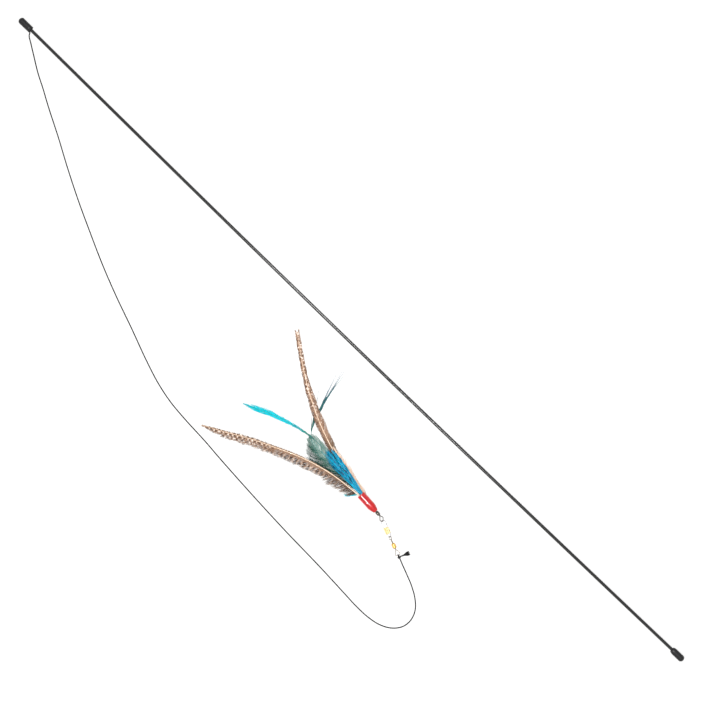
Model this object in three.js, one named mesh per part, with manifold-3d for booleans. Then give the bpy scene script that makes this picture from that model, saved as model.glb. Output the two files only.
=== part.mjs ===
// Cat feather wand, lying on a table: a one-piece fibreglass rod with a vinyl cap on each end, a braided
// line from the tip cap to a snap swivel, and a feather lure with a small swivel in its vinyl head cap.
// Millimetres. +X runs along the rod from butt to tip, +Y towards the lure, +Z up from the table.
import * as THREE from "three";
import { mergeVertices } from "three/addons/utils/BufferGeometryUtils.js";
import Module from "manifold-3d";

// Rod, a 36 inch length of 1/8 inch rod
const rodLength = 914.4;
const rodRadius = 1.6;
const rodEndBevel = 0.3;
const rodBow = 2.6; // of the middle of the rod towards the lure, from a straight line
const rodBowSteps = 24;

// Vinyl end caps
const capRadius = 3.4;
const capRimGroove = 0.2;
const capFit = 0.1; // clearance of the rod in each cap's bore
const endGap = 0.3; // between the butt end of the rod and the floor of its cap
const buttCapLength = 15.5;
const buttCapWall = 1.5;
const buttCapMouthRadius = 2.4;
const buttCapTaper = 2.6;
const tipCapLength = 15.7;
const tipCapWall = 1.2;
const tipCapRim = 1.6; // length of its rolled rim
const knotChamberLength = 2.6; // beyond the rod's tip, for the knot that stops the line
const knotChamberRadius = 2.6;
const domeLength = 2.9;

// Braided line
const lineRadius = 0.5;
const lineFit = 0.12; // clearance of the line beside the rod
const lineHeight = 0.55; // of its centre, where it lies on the table
const touchGap = 0.3; // where one end of the line meets the next piece
const restGap = 0.05; // under what lies on the table
const swingSetback = 2.3; // from the tip cap's mouth to where the line bends as it leaves
const swingAside = 2.9; // from the line in its groove to that bend
const swingDrop = 0.47;
const swingGap = 0.55; // between the two stretches of line at that bend
const swingYaw = 120; // of the line there
const stopperKnotRadius = 1.1;

// Brass snap swivel: its barrel's centre, the way that it points and its pieces, along its own axis
const swivelCentre = [-173.5, 118.4];
const swivelYaw = -21.4;
const swivelBarrelLength = 5.6;
const swivelBarrelRadius = 2.05;
const swivelBarrelWall = 0.5;
const swivelStemRadius = 0.62;
const swivelStemFit = 0.23;
const swivelHeadRadius = 1.3;
const swivelHeadLength = 0.8;
const swivelHeadSpacing = 1.8; // between the two heads in the barrel
const eyeWireRadius = 0.33;
const lineEyeLength = 7.8; // from the barrel's end to the centre of the eye's far wire
const lineEyeHalfWidth = 2.45;
const lineEyeNeck = 1.5; // of stem outside the barrel before the two wires part
const snapRingRadius = 1.75;
const snapRingReach = 5.8; // from the barrel's end to the ring's centre
const snapRingTilt = 50;

// Knot on the line-side eye and its tag end
const knotLoopRadius = 1.05;
const knotLoopWire = 0.45;
const knotHalfLength = 1.5;
const knotRadius = 1.5;
const knotTurns = 3;
const knotEndShare = 0.55; // of the knot's radius, at its two ends
const knotGroove = 0.1; // between its turns, as a share of its radius
const tagLength = 9.4;
const tagNeckRadius = 0.55;
const tagEndRadius = 1.85;
const tagYaw = -93;
const tagPitch = 1.2;

// Safety snap, a bent wire with a folded clasp
const snapTilt = -35;
const snapWireRadius = 0.33;
const snapLinkGap = 0.3; // in the swivel's ring
const snapLength = 18.5; // between the centres of its two end wires
const snapEyeHalfWidth = 1.9;
const snapWaistHalfWidth = 2.3;
const snapBowRadius = 3;
const snapBowTurn = 86; // that the bow goes on past its far point, to where the latch arm starts
const claspStart = 3.7; // from the end wire at the swivel
const claspLength = 6.9;
const claspHalfWidth = 2.75;
const claspSheet = 0.3;
const claspFit = 0.12;
const claspRib = -0.55; // where the pressed middle of the clasp meets its open side
const claspFoldTurn = 30; // of each flat of the clasp's rounded fold
const claspSlotTurn = 45; // of each flat of the slot round the fixed leg

// Black nickel swivel of the lure
const lureSwivelLength = 4.9;
const lureSwivelRadius = 1.8;
const lureSwivelWall = 0.4;
const lureStemRadius = 0.55;
const lureStemFit = 0.2;
const lureHeadRadius = 1.1;
const lureHeadLength = 0.6;
const lureHeadSpacing = 1.2;
const lureSwivelGap = 0.3; // between its barrel and the nose of the head cap
const lureRingWire = 0.4;
const lureRingLength = 7; // from the barrel's end to the centre of the far wire
const lureRingHalfWidth = 2.45;
const lureRingBend = 15; // of the ring from the swivel's axis
const lureRingNeck = 0.6; // from the barrel to where its two wires part
const lureRingTilt = 40;
const lureLinkGap = 0.3; // between the ring's far wire and the snap's bow
const lureEyeRadius = 1.2;
const lureEyeWire = 0.35;

// Vinyl head cap of the lure, from its nose to its mouth
const lureYaw = -3.8;
const headLength = 22.45;
const headRadius = 4.2;
const headNoseRadius = 2.5;
const headShoulder = 6.5; // from the nose to where the cap is full width
const headWall = 0.85;
const headNoseWall = 1.5;
const headBoreGap = 0.1;
const glueStart = 7.6;
const glueEnd = 18.5;
const socketDepth = 6;
const socketFit = 0.12;

// Feathers
const vaneThickness = 0.35;
const vaneGap = 0.1; // under the quill
const vaneNotch = 0.86; // of the vane's reach, at every other row of its edge
const vaneSweep = 0.3; // that the edge leads the quill, for each unit of lean and reach
const quillTipRadius = 0.15;
const quillLead = 1; // of straight quill past the head cap's mouth

const capSides = 24;
const smallSides = 12;
const wireSides = 8;
const quillSides = 6;
const lineSides = 8;
const lineSteps = 72;

const degrees = Math.PI / 180;
const overallLength = rodLength + buttCapWall + endGap + tipCapWall + knotChamberLength;
const rodButt = buttCapWall + endGap - overallLength / 2;
const capAxisHeight = capRadius * Math.cos(Math.PI / capSides);
const lineOffset = rodRadius + lineFit + lineRadius;
const swivelHeight = swivelBarrelRadius + restGap;
const swivelDirection = [Math.cos(swivelYaw * degrees), Math.sin(swivelYaw * degrees)];
const lineEyeEnd = -swivelBarrelLength / 2 - lineEyeLength;
const knotCentre = lineEyeEnd - knotLoopRadius - knotHalfLength / 2;

// The line's route over the table, from the tip cap to the knot: x, y and height of its centre
const lineRoute = [
  [440.3, 6.7, 2.2],
  [435.8, 9.6, 1.2],
  [431.6, 12.4, 0.75],
  [423.8, 17.4, lineHeight],
  [410, 26.1, lineHeight],
  [395.2, 34, lineHeight],
  [380.8, 42.2, lineHeight],
  [351.2, 57.9, lineHeight],
  [322.2, 74.1, lineHeight],
  [292.4, 89.7, lineHeight],
  [261.9, 104.4, lineHeight],
  [230.9, 118.8, lineHeight],
  [198.8, 132.1, lineHeight],
  [165.8, 144.4, lineHeight],
  [133.3, 157, lineHeight],
  [110, 164.9, lineHeight],
  [88, 170, lineHeight],
  [68.2, 172.3, lineHeight],
  [33.1, 174.6, lineHeight],
  [14, 176.4, lineHeight],
  [-30.4, 179.8, lineHeight],
  [-83.5, 183, lineHeight],
  [-134.9, 185, lineHeight],
  [-170.1, 187, lineHeight],
  [-187.4, 188, lineHeight],
  [-204.1, 187.7, lineHeight],
  [-218.1, 185, lineHeight],
  [-228.9, 179.2, lineHeight],
  [-235.8, 170.6, lineHeight],
  [-237.3, 160.4, lineHeight],
  [-233.6, 150.2, lineHeight],
  [-226, 142.3, lineHeight],
  [-214.2, 135.1, lineHeight],
  [-200.9, 129.4, 0.8],
  [-192.5, 126, 1.5],
];

// Each feather: its seat in the head cap (across, up), the quill's radius there, the quill's route from
// the middle of the mouth (along, across, up), the stretch of quill that carries the vane, and the vane's
// reach to each side along that stretch
const feathers = [
  {
    name: "barred_feather_long",
    seat: [2.1, 0.4],
    radius: 0.6,
    route: [
      [13.9, 3.9, 0.8],
      [26.1, 5.9, 1.4],
      [41.2, 9.5, 2],
      [56.6, 14.6, 2.4],
      [74.3, 22.2, 2.4],
      [92.2, 31.7, 1.8],
      [114.2, 43.7, 0.4],
      [134.9, 57.2, -1.6],
      [158.9, 71.8, -3.4],
    ],
    vane: [0.17, 1],
    left: [7.5, 9, 8.4, 7.2, 6, 1],
    right: [0.8, 1.6, 2.2, 2.8, 2.8, 0.8],
    lean: 0.9,
    rows: 44,
    quill: 0xe3cdb0,
    colour: 0xa58873,
  },
  {
    name: "barred_feather_upright",
    seat: [-1.1, -0.3],
    radius: 0.6,
    route: [
      [16.7, -2.9, -0.7],
      [30.8, -4.4, -0.8],
      [39.1, -6, -0.7],
      [52.8, -9.5, -0.3],
      [65.3, -12.9, 0.1],
      [83.6, -18.9, 0],
      [100.8, -26, -0.6],
      [122.6, -36.8, -1.5],
      [144.7, -50, -2.6],
      [165.1, -63.3, -3.4],
    ],
    vane: [0.35, 1],
    left: [2.2, 4.2, 3.7, 3, 2.2, 1.4],
    right: [2.4, 5, 4.4, 3.4, 2.4, 1.4],
    lean: 1.1,
    rows: 40,
    quill: 0xd9bd9c,
    colour: 0xb39276,
  },
  {
    name: "turquoise_hackle",
    seat: [0.6, 0.8],
    radius: 0.4,
    route: [
      [16.5, -0.7, 1.1],
      [34.6, -1.7, 1.4],
      [52.8, -3.1, 1.6],
      [67, -3, 1.6],
      [83.3, -0.5, 1.6],
      [96, 3.2, 1.5],
      [107, 7.1, 1.4],
      [115.3, 10.5, 1.2],
      [130.6, 18.2, 0.2],
      [146.5, 26.3, -1.2],
    ],
    vane: [0.5, 1],
    left: [0.8, 1.6, 2.6, 3.6, 3, 0.4],
    right: [0.8, 1.6, 2.4, 3.4, 2.8, 0.4],
    lean: 2,
    rows: 32,
    quill: 0x14605c,
    colour: 0x17bccb,
  },
  {
    name: "teal_hackle",
    seat: [0.6, -1.1],
    radius: 0.4,
    route: [
      [16.5, 0.3, -1.2],
      [32.4, 1.9, -1.5],
      [48.3, 4.2, -1.8],
      [60.3, 4.8, -2],
      [70, 1.7, -2.2],
      [77.9, -3.8, -2.3],
      [83.9, -11.9, -2.4],
      [88.6, -22.6, -2.6],
      [93.1, -36.3, -2.8],
      [96.6, -53.1, -3.1],
      [98.9, -66.6, -3.4],
    ],
    vane: [0.42, 1],
    left: [2, 2, 1.6, 1.4, 1.1, 0.4],
    right: [2, 2, 1.8, 1.6, 1.2, 0.4],
    lean: 2,
    rows: 32,
    quill: 0x1c4a47,
    colour: 0x24605a,
  },
  {
    name: "blue_feather_inner",
    seat: [-0.9, 2],
    radius: 0.35,
    route: [
      [10.6, -1.5, 2.6],
      [19.6, -1.9, 2.9],
      [30.7, -2.5, 3.1],
      [42.8, -4.4, 3.1],
      [54.5, -6.2, 2.9],
    ],
    vane: [0.25, 1],
    left: [1, 2, 2.4, 2.4, 1.6, 0.4],
    right: [1, 1.8, 2.2, 2.2, 1.6, 0.4],
    lean: 2.4,
    rows: 16,
    quill: 0x0b6a92,
    colour: 0x0094c4,
  },
  {
    name: "blue_feather_outer",
    seat: [-2.3, 1.4],
    radius: 0.35,
    route: [
      [10.7, -3.2, 1.9],
      [19.8, -4.3, 2.1],
      [30.9, -5.9, 2.2],
      [43, -7.6, 2.3],
      [53.1, -8.6, 2.4],
    ],
    vane: [0.25, 1],
    left: [1, 1.4, 1.6, 1.8, 1.4, 0.4],
    right: [1, 1.8, 2.2, 2, 1.4, 0.4],
    lean: 2.4,
    rows: 16,
    quill: 0x0b6a92,
    colour: 0x0083b0,
  },
  {
    name: "beige_feather",
    seat: [-2.6, -0.5],
    radius: 0.3,
    route: [
      [10.7, -3.1, 0.8],
      [19.8, -4.9, 1],
      [31, -7.4, 1],
      [43.2, -9.7, 1.1],
      [54.2, -11.3, 1.2],
    ],
    vane: [0.33, 1],
    left: [0.6, 0.9, 1, 1, 0.8, 0.3],
    right: [0.8, 1.4, 1.8, 1.6, 1.2, 0.3],
    lean: 2.4,
    rows: 16,
    quill: 0xe6c9ab,
    colour: 0xe8cdb4,
  },
  {
    name: "downy_feather",
    seat: [-0.7, -2.2],
    radius: 0.35,
    route: [
      [14.6, -1.3, -2.7],
      [29.5, -0.5, -3.15],
      [49.5, 0.9, -3.2],
      [66.6, 0.4, -3.2],
      [78.7, -1.2, -3.25],
    ],
    vane: [0.3, 1],
    left: [1.6, 6, 9, 8, 4.6, 0.6],
    right: [1.6, 5, 8.4, 8.6, 5, 0.6],
    lean: 0.9,
    rows: 24,
    quill: 0x6f8f88,
    colour: 0x6d8c85,
  },
  {
    name: "cyan_tuft",
    seat: [1.9, -1.7],
    radius: 0.3,
    route: [
      [2.8, 3.6, -1.9],
      [6, 7.4, -2.7],
      [10, 12.9, -3.3],
    ],
    vane: [0.62, 1],
    left: [0.5, 0.9, 1, 0.8, 0.6, 0.3],
    right: [0.5, 0.9, 1, 0.8, 0.6, 0.3],
    lean: 2,
    rows: 8,
    quill: 0x12a3b8,
    colour: 0x1fc6dc,
  },
];

const wasm = await Module();
wasm.setup();

// The library's solid of a closed geometry, and back
function solidOf(geometry) {
  const bare = geometry.clone();
  bare.deleteAttribute("normal");
  bare.deleteAttribute("uv");
  const merged = mergeVertices(bare, 1e-4);
  const vertProperties = merged.attributes.position.array;
  const triVerts = new Uint32Array(merged.index.array);
  return new wasm.Manifold(new wasm.Mesh({ numProp: 3, vertProperties, triVerts }));
}

function geometryOf(solid) {
  const { vertProperties, triVerts } = solid.getMesh();
  const geometry = new THREE.BufferGeometry();
  geometry.setAttribute("position", new THREE.BufferAttribute(vertProperties, 3));
  geometry.setIndex(new THREE.BufferAttribute(triVerts, 1));
  geometry.computeVertexNormals();
  return geometry;
}

function joined(...pieces) {
  return geometryOf(pieces.map(solidOf).reduce((whole, piece) => whole.add(piece)));
}

function cut(piece, ...tools) {
  return geometryOf(tools.map(solidOf).reduce((whole, tool) => whole.subtract(tool), solidOf(piece)));
}

// A turned shape along +X. Its profile is [x, radius] pairs with x rising along the outside, and it
// starts and ends on the axis or on the same point. A flat of its many sides faces down.
function turned(profile, sides) {
  const points = profile.map(([x, radius]) => new THREE.Vector2(radius, x));
  return new THREE.LatheGeometry(points, sides, Math.PI / sides).rotateZ(-Math.PI / 2);
}

function rod(x0, x1, radius, sides) {
  return turned([[x0, 0], [x0, radius], [x1, radius], [x1, 0]], sides);
}

function vectors(points) {
  return points.map((point) => new THREE.Vector3(...point));
}

// Round wire or line of one thickness along a smooth curve through the points
function wire(points, radius, sides, steps) {
  const section = new THREE.Shape();
  section.absarc(0, 0, radius, 0, 2 * Math.PI);
  const extrudePath = new THREE.CatmullRomCurve3(vectors(points), false, "centripetal");
  const curveSegments = sides / 2; // a whole arc gives two points for each
  return new THREE.ExtrudeGeometry(section, { steps, curveSegments, extrudePath });
}

// A quill, a round rod along a curve that thins evenly from its root to its tip
function quill(curve, steps, sides, rootRadius, tipRadius) {
  const frames = curve.computeFrenetFrames(steps);
  const positions = [];
  const indices = [];
  for (let i = 0; i <= steps; i++) {
    const centre = curve.getPointAt(i / steps);
    const radius = rootRadius + ((tipRadius - rootRadius) * i) / steps;
    for (let j = 0; j < sides; j++) {
      const turn = (2 * Math.PI * j) / sides;
      const point = centre
        .clone()
        .addScaledVector(frames.normals[i], radius * Math.cos(turn))
        .addScaledVector(frames.binormals[i], radius * Math.sin(turn));
      positions.push(...point);
      const next = (j + 1) % sides;
      const here = i * sides;
      const ahead = here + sides;
      if (i < steps) {
        indices.push(here + j, here + next, ahead + next);
        indices.push(here + j, ahead + next, ahead + j);
      }
    }
  }
  for (const [u, start, turnRound] of [[0, 0, true], [1, steps * sides, false]]) {
    const middle = positions.length / 3;
    positions.push(...curve.getPointAt(u));
    for (let j = 0; j < sides; j++) {
      const pair = [start + j, start + ((j + 1) % sides)];
      indices.push(middle, ...(turnRound ? pair.reverse() : pair));
    }
  }
  const geometry = new THREE.BufferGeometry();
  geometry.setAttribute("position", new THREE.Float32BufferAttribute(positions, 3));
  geometry.setIndex(indices);
  geometry.computeVertexNormals();
  return geometry;
}

// A width read off evenly spaced reaches, smoothed between them
function reachAt(reaches, share) {
  const place = share * (reaches.length - 1);
  const before = Math.min(Math.floor(place), reaches.length - 2);
  const blend = THREE.MathUtils.smoothstep(place - before, 0, 1);
  return THREE.MathUtils.lerp(reaches[before], reaches[before + 1], blend);
}

// A vane, a thin blade under its quill with an edge that is notched where its barbs part
function vane(curve, feather) {
  const [from, to] = feather.vane;
  const positions = [];
  const indices = [];
  for (let i = 0; i <= feather.rows; i++) {
    const share = i / feather.rows;
    const u = from + (to - from) * share;
    const centre = curve.getPointAt(u);
    const along = curve.getTangentAt(u).setZ(0).normalize();
    const aside = new THREE.Vector3(-along.y, along.x, 0);
    const quillRadius = feather.radius + (quillTipRadius - feather.radius) * u;
    const top = centre.z - quillRadius - vaneGap;
    const trim = i % 2 ? vaneNotch : 1;
    const reaches = [reachAt(feather.left, share) * trim, 0, -reachAt(feather.right, share) * trim];
    const lead = share < 1 ? feather.lean * (1 - share) : 0;
    for (const height of [top, top - vaneThickness]) {
      for (const reach of reaches) {
        const point = centre.clone().addScaledVector(aside, reach);
        point.addScaledVector(along, Math.abs(reach) * lead * vaneSweep);
        positions.push(point.x, point.y, height);
      }
    }
  }
  const quad = (a, b, c, d) => indices.push(a, b, c, a, c, d);
  for (let i = 0; i < feather.rows; i++) {
    const here = i * 6;
    const ahead = here + 6;
    for (const side of [0, 1]) {
      quad(here + side, here + side + 1, ahead + side + 1, ahead + side);
      quad(here + side + 4, here + side + 3, ahead + side + 3, ahead + side + 4);
    }
    quad(here + 3, here, ahead, ahead + 3);
    quad(here + 2, here + 5, ahead + 5, ahead + 2);
  }
  const last = feather.rows * 6;
  for (const side of [0, 1]) {
    quad(side, side + 3, side + 4, side + 1);
    quad(last + side, last + side + 1, last + side + 4, last + side + 3);
  }
  const geometry = new THREE.BufferGeometry();
  geometry.setAttribute("position", new THREE.Float32BufferAttribute(positions, 3));
  geometry.setIndex(indices);
  geometry.computeVertexNormals();
  return geometry;
}

// A named piece in its material
function piece(name, geometry, colour, roughness, metalness = 0) {
  const material = new THREE.MeshStandardMaterial({ color: colour, roughness, metalness });
  const mesh = new THREE.Mesh(geometry, material);
  mesh.name = name;
  return mesh;
}

// A domed closed end, as [x, radius] pairs from the axis out to the full radius
function dome(length, radius, steps) {
  const points = [];
  for (let i = 0; i <= steps; i++) {
    const turn = (Math.PI / 2) * (i / steps);
    points.push([length * (1 - Math.cos(turn)), radius * Math.sin(turn)]);
  }
  return points;
}

const wand = new THREE.Group();

// Rod with bevelled ends. It is straight in the caps and bows a little between them.
const bowFrom = buttCapLength - buttCapWall - endGap;
const bowTo = rodLength + knotChamberLength + tipCapWall - tipCapLength;
const bowStations = [];
for (let i = 0; i <= rodBowSteps; i++) {
  bowStations.push([bowFrom + ((bowTo - bowFrom) * i) / rodBowSteps, rodRadius]);
}
const rodGeometry = turned(
  [
    [0, 0],
    [0, rodRadius - rodEndBevel],
    [rodEndBevel, rodRadius],
    ...bowStations,
    [rodLength - rodEndBevel, rodRadius],
    [rodLength, rodRadius - rodEndBevel],
    [rodLength, 0],
  ],
  capSides,
);
const rodPoints = rodGeometry.attributes.position;
for (let i = 0; i < rodPoints.count; i++) {
  const share = THREE.MathUtils.clamp((rodPoints.getX(i) - bowFrom) / (bowTo - bowFrom), 0, 1);
  rodPoints.setY(i, rodPoints.getY(i) + rodBow * Math.sin(Math.PI * share));
}
rodGeometry.computeVertexNormals();
const rodPiece = piece("rod", rodGeometry, 0x131314, 0.3);
rodPiece.position.set(rodButt, 0, capAxisHeight);
wand.add(rodPiece);

// Butt cap, dip moulded, with a shoulder that tapers onto the rod
const boreRadius = rodRadius + capFit;
const buttCapGeometry = turned(
  [
    ...dome(domeLength, capRadius, 5),
    [buttCapLength - buttCapTaper, capRadius],
    [buttCapLength - buttCapTaper / 3, (capRadius + buttCapMouthRadius) / 2],
    [buttCapLength, buttCapMouthRadius],
    [buttCapLength, boreRadius],
    [buttCapWall, boreRadius],
    [buttCapWall, 0],
  ],
  capSides,
);
const buttCap = piece("butt_cap", buttCapGeometry, 0x18181a, 0.42);
buttCap.position.set(-overallLength / 2, 0, capAxisHeight);
wand.add(buttCap);

// Tip cap, with a rolled rim, a chamber for the stopper knot and a groove that the line lies in
const chamberFloor = tipCapWall;
const chamberEnd = tipCapWall + knotChamberLength;
const rimStart = tipCapLength - tipCapRim;
const tipCapShell = turned(
  [
    ...dome(domeLength, capRadius, 5),
    [rimStart - 0.7, capRadius],
    [rimStart, capRadius - capRimGroove],
    [rimStart + 0.5, capRadius],
    [tipCapLength - 0.3, capRadius],
    [tipCapLength, capRadius - 0.3],
    [tipCapLength, boreRadius],
    [chamberEnd, boreRadius],
    [chamberEnd, knotChamberRadius],
    [chamberFloor, knotChamberRadius],
    [chamberFloor, 0],
  ],
  capSides,
);
const lineGroove = rod(chamberEnd - 0.5, tipCapLength + 1, lineRadius + lineFit, smallSides);
lineGroove.translate(0, -lineOffset, 0);
const tipCap = piece("tip_cap", cut(tipCapShell, lineGroove), 0x18181a, 0.42);
tipCap.position.set(overallLength / 2, 0, capAxisHeight);
tipCap.rotation.z = Math.PI;
wand.add(tipCap);

// Stopper knot in the chamber, and the tail of the line from it to the cap's mouth and out
const mouth = overallLength / 2 - tipCapLength;
const swingPivot = [mouth - swingSetback, lineOffset + swingAside, capAxisHeight - swingDrop];
const rodTip = rodButt + rodLength;
const stopperKnotGeometry = new THREE.SphereGeometry(stopperKnotRadius, smallSides, 8);
const stopperKnot = piece("stopper_knot", stopperKnotGeometry, 0x1b1b1d, 0.8);
const stopperKnotCentre = rodTip + knotChamberLength / 2;
stopperKnot.position.set(stopperKnotCentre, stopperKnotRadius + lineFit, capAxisHeight);
wand.add(stopperKnot);
const lineTailRoute = [
  [rodTip + 0.3, lineOffset, capAxisHeight],
  [rodTip - 4, lineOffset, capAxisHeight],
  [mouth + 3, lineOffset, capAxisHeight],
  [mouth + 0.2, lineOffset, capAxisHeight],
  [mouth - swingSetback / 2, lineOffset + swingAside / 4, capAxisHeight - swingDrop / 3],
  [
    swingPivot[0] - swingGap * Math.cos(swingYaw * degrees),
    swingPivot[1] - swingGap * Math.sin(swingYaw * degrees),
    swingPivot[2],
  ],
];
const lineTailGeometry = wire(lineTailRoute, lineRadius, lineSides, 20);
wand.add(piece("line_tail", lineTailGeometry, 0x1b1b1d, 0.8));

// Free stretch of the line
const lineEnd = [
  swivelCentre[0] + (knotCentre - knotHalfLength - touchGap) * swivelDirection[0],
  swivelCentre[1] + (knotCentre - knotHalfLength - touchGap) * swivelDirection[1],
  swivelHeight,
];
const freeRoute = [swingPivot, ...lineRoute, lineEnd];
wand.add(piece("line", wire(freeRoute, lineRadius, lineSides, lineSteps), 0x1b1b1d, 0.8));

// Brass snap swivel, along its own X axis from the line side to the snap side
const swivel = new THREE.Group();
swivel.name = "swivel";
swivel.position.set(...swivelCentre, swivelHeight);
swivel.rotation.z = swivelYaw * degrees;
wand.add(swivel);

// A swivel's barrel, a hollow turned shell with a hole in each end
function barrelShell(length, radius, wall, holeRadius) {
  const half = length / 2;
  const shoulder = half * 0.72;
  const outside = [
    [-half, holeRadius],
    [-half, radius * 0.58],
    [-shoulder, radius * 0.9],
    [-half * 0.35, radius],
    [half * 0.35, radius],
    [shoulder, radius * 0.9],
    [half, radius * 0.58],
    [half, holeRadius],
  ];
  const inside = [
    [half - wall, holeRadius],
    [half - wall * 1.9, radius - wall],
    [-half + wall * 1.9, radius - wall],
    [-half + wall, holeRadius],
    [-half, holeRadius],
  ];
  return turned([...outside, ...inside], smallSides);
}

const swivelHole = swivelStemRadius + swivelStemFit;
const swivelBarrelGeometry = barrelShell(
  swivelBarrelLength,
  swivelBarrelRadius,
  swivelBarrelWall,
  swivelHole,
);
swivel.add(piece("swivel_barrel", swivelBarrelGeometry, 0xc8932f, 0.25, 1));

// Half of a wire loop's route from its neck to the middle of its far wire, mirrored into a whole loop
function loopRoute(half) {
  const back = half.slice(0, -1).reverse().map(([x, y, z]) => [x, -y, z]);
  return [...half, ...back];
}

// Line-side eye: a headed stem and a flat, open loop of wire
const barrelEnd = swivelBarrelLength / 2;
const headStart = swivelHeadSpacing / 2;
const lineNeck = -barrelEnd - lineEyeNeck;
const lineEyeLoop = loopRoute([
  [lineNeck + 0.5, eyeWireRadius + 0.03, 0],
  [lineNeck - 0.4, eyeWireRadius + 0.06, 0],
  [lineNeck - 2.2, lineEyeHalfWidth * 0.62, 0],
  [lineEyeEnd + 1.4, lineEyeHalfWidth, 0],
  [lineEyeEnd + 0.3, lineEyeHalfWidth * 0.62, 0],
  [lineEyeEnd, 0, 0],
]);
const lineEyeGeometry = joined(
  rod(-headStart - swivelHeadLength, -headStart, swivelHeadRadius, smallSides),
  rod(lineNeck, -headStart, swivelStemRadius, smallSides),
  wire(lineEyeLoop, eyeWireRadius, wireSides, 30),
);
swivel.add(piece("swivel_line_eye", lineEyeGeometry, 0xc9c3ba, 0.3, 1));

// Snap-side eye: a headed stem and a round ring, tilted to link with the snap
const ringCentre = barrelEnd + snapRingReach;
const snapRing = new THREE.TorusGeometry(snapRingRadius, eyeWireRadius, wireSides, 24);
snapRing.rotateX(snapRingTilt * degrees);
snapRing.translate(ringCentre, 0, 0);
const snapEyeGeometry = joined(
  rod(headStart, headStart + swivelHeadLength, swivelHeadRadius, smallSides),
  rod(headStart, ringCentre - snapRingRadius, swivelStemRadius, smallSides),
  snapRing,
);
swivel.add(piece("swivel_snap_eye", snapEyeGeometry, 0x9d968e, 0.35, 1));

// Knot, a wound bead with its loop of line through the line-side eye
const knotLoop = new THREE.TorusGeometry(knotLoopRadius, knotLoopWire, wireSides, 16);
knotLoop.rotateX(Math.PI / 2);
knotLoop.translate(lineEyeEnd, 0, 0);
const knotProfile = [[-knotHalfLength, 0]];
for (let i = 0; i <= knotTurns * 4; i++) {
  const share = i / (knotTurns * 4);
  const swell = knotEndShare + (1 - knotEndShare) * Math.sin(Math.PI * share);
  const groove = 1 - (knotGroove * (1 - Math.cos(2 * Math.PI * knotTurns * share))) / 2;
  knotProfile.push([(2 * share - 1) * knotHalfLength, knotRadius * swell * groove]);
}
knotProfile.push([knotHalfLength, 0]);
const knotBead = turned(knotProfile, smallSides);
knotBead.translate(knotCentre, 0, 0);
swivel.add(piece("line_knot", joined(knotBead, knotLoop), 0x1b1b1d, 0.85));

// Tag end of the line, frayed into a flat brush
const tagProfile = [
  [0, 0],
  [0, tagNeckRadius],
  [tagLength * 0.25, tagNeckRadius],
  [tagLength * 0.5, (tagNeckRadius + tagEndRadius) / 2],
  [tagLength * 0.85, tagEndRadius],
  [tagLength * 0.97, tagEndRadius * 0.92],
  [tagLength, tagEndRadius * 0.5],
  [tagLength, 0],
];
const tagEnd = piece("line_tag_end", turned(tagProfile, smallSides), 0x1b1b1d, 0.9);
tagEnd.position.set(knotCentre, -knotRadius - touchGap, 0);
tagEnd.rotation.set(0, tagPitch * degrees, tagYaw * degrees, "ZYX");
swivel.add(tagEnd);

// Safety snap, tilted on the table, from its end wire in the swivel's ring to its bow in the lure's ring
const snap = new THREE.Group();
snap.name = "snap";
const snapStart = ringCentre + snapRingRadius - eyeWireRadius - snapLinkGap - snapWireRadius;
snap.position.set(snapStart, 0, 0);
snap.rotation.x = snapTilt * degrees;
swivel.add(snap);

const claspEnd = claspStart + claspLength;
const bowCentre = snapLength - snapBowRadius;
const bowPoint = (turn) => [
  bowCentre + snapBowRadius * Math.cos(turn * degrees),
  snapBowRadius * Math.sin(turn * degrees),
  0,
];
const snapWireRoute = [
  [claspStart + 1.8, -snapWaistHalfWidth, 0],
  [claspStart - 0.2, -snapWaistHalfWidth, 0],
  [1, -snapEyeHalfWidth * 0.85, 0],
  [0, 0, 0],
  [1, snapEyeHalfWidth * 0.85, 0],
  [claspStart - 0.2, snapWaistHalfWidth, 0],
  [claspEnd, snapWaistHalfWidth, 0],
  bowPoint(90),
  bowPoint(snapBowTurn / 2),
  bowPoint(0),
  bowPoint(-snapBowTurn / 2),
  bowPoint(-snapBowTurn),
];
const snapWireGeometry = wire(snapWireRoute, snapWireRadius, wireSides, 48);
snap.add(piece("snap_wire", snapWireGeometry, 0xc4c4c8, 0.25, 1));

// Latch arm, the free leg of the same wire, with its hooked end in the open side of the clasp
const latchArmRoute = [
  [bowCentre - touchGap, -snapBowRadius, 0],
  [claspEnd + 1.5, -(snapBowRadius + snapWaistHalfWidth) / 2, 0],
  [claspEnd - 1.6, -snapWaistHalfWidth, 0],
  [claspStart + 3.6, -snapWaistHalfWidth + 0.15, 0],
  [claspStart + 3, -snapWaistHalfWidth + 0.9, 0],
];
const latchArmGeometry = wire(latchArmRoute, snapWireRadius, wireSides, 20);
snap.add(piece("snap_latch_arm", latchArmGeometry, 0xc4c4c8, 0.25, 1));

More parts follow.
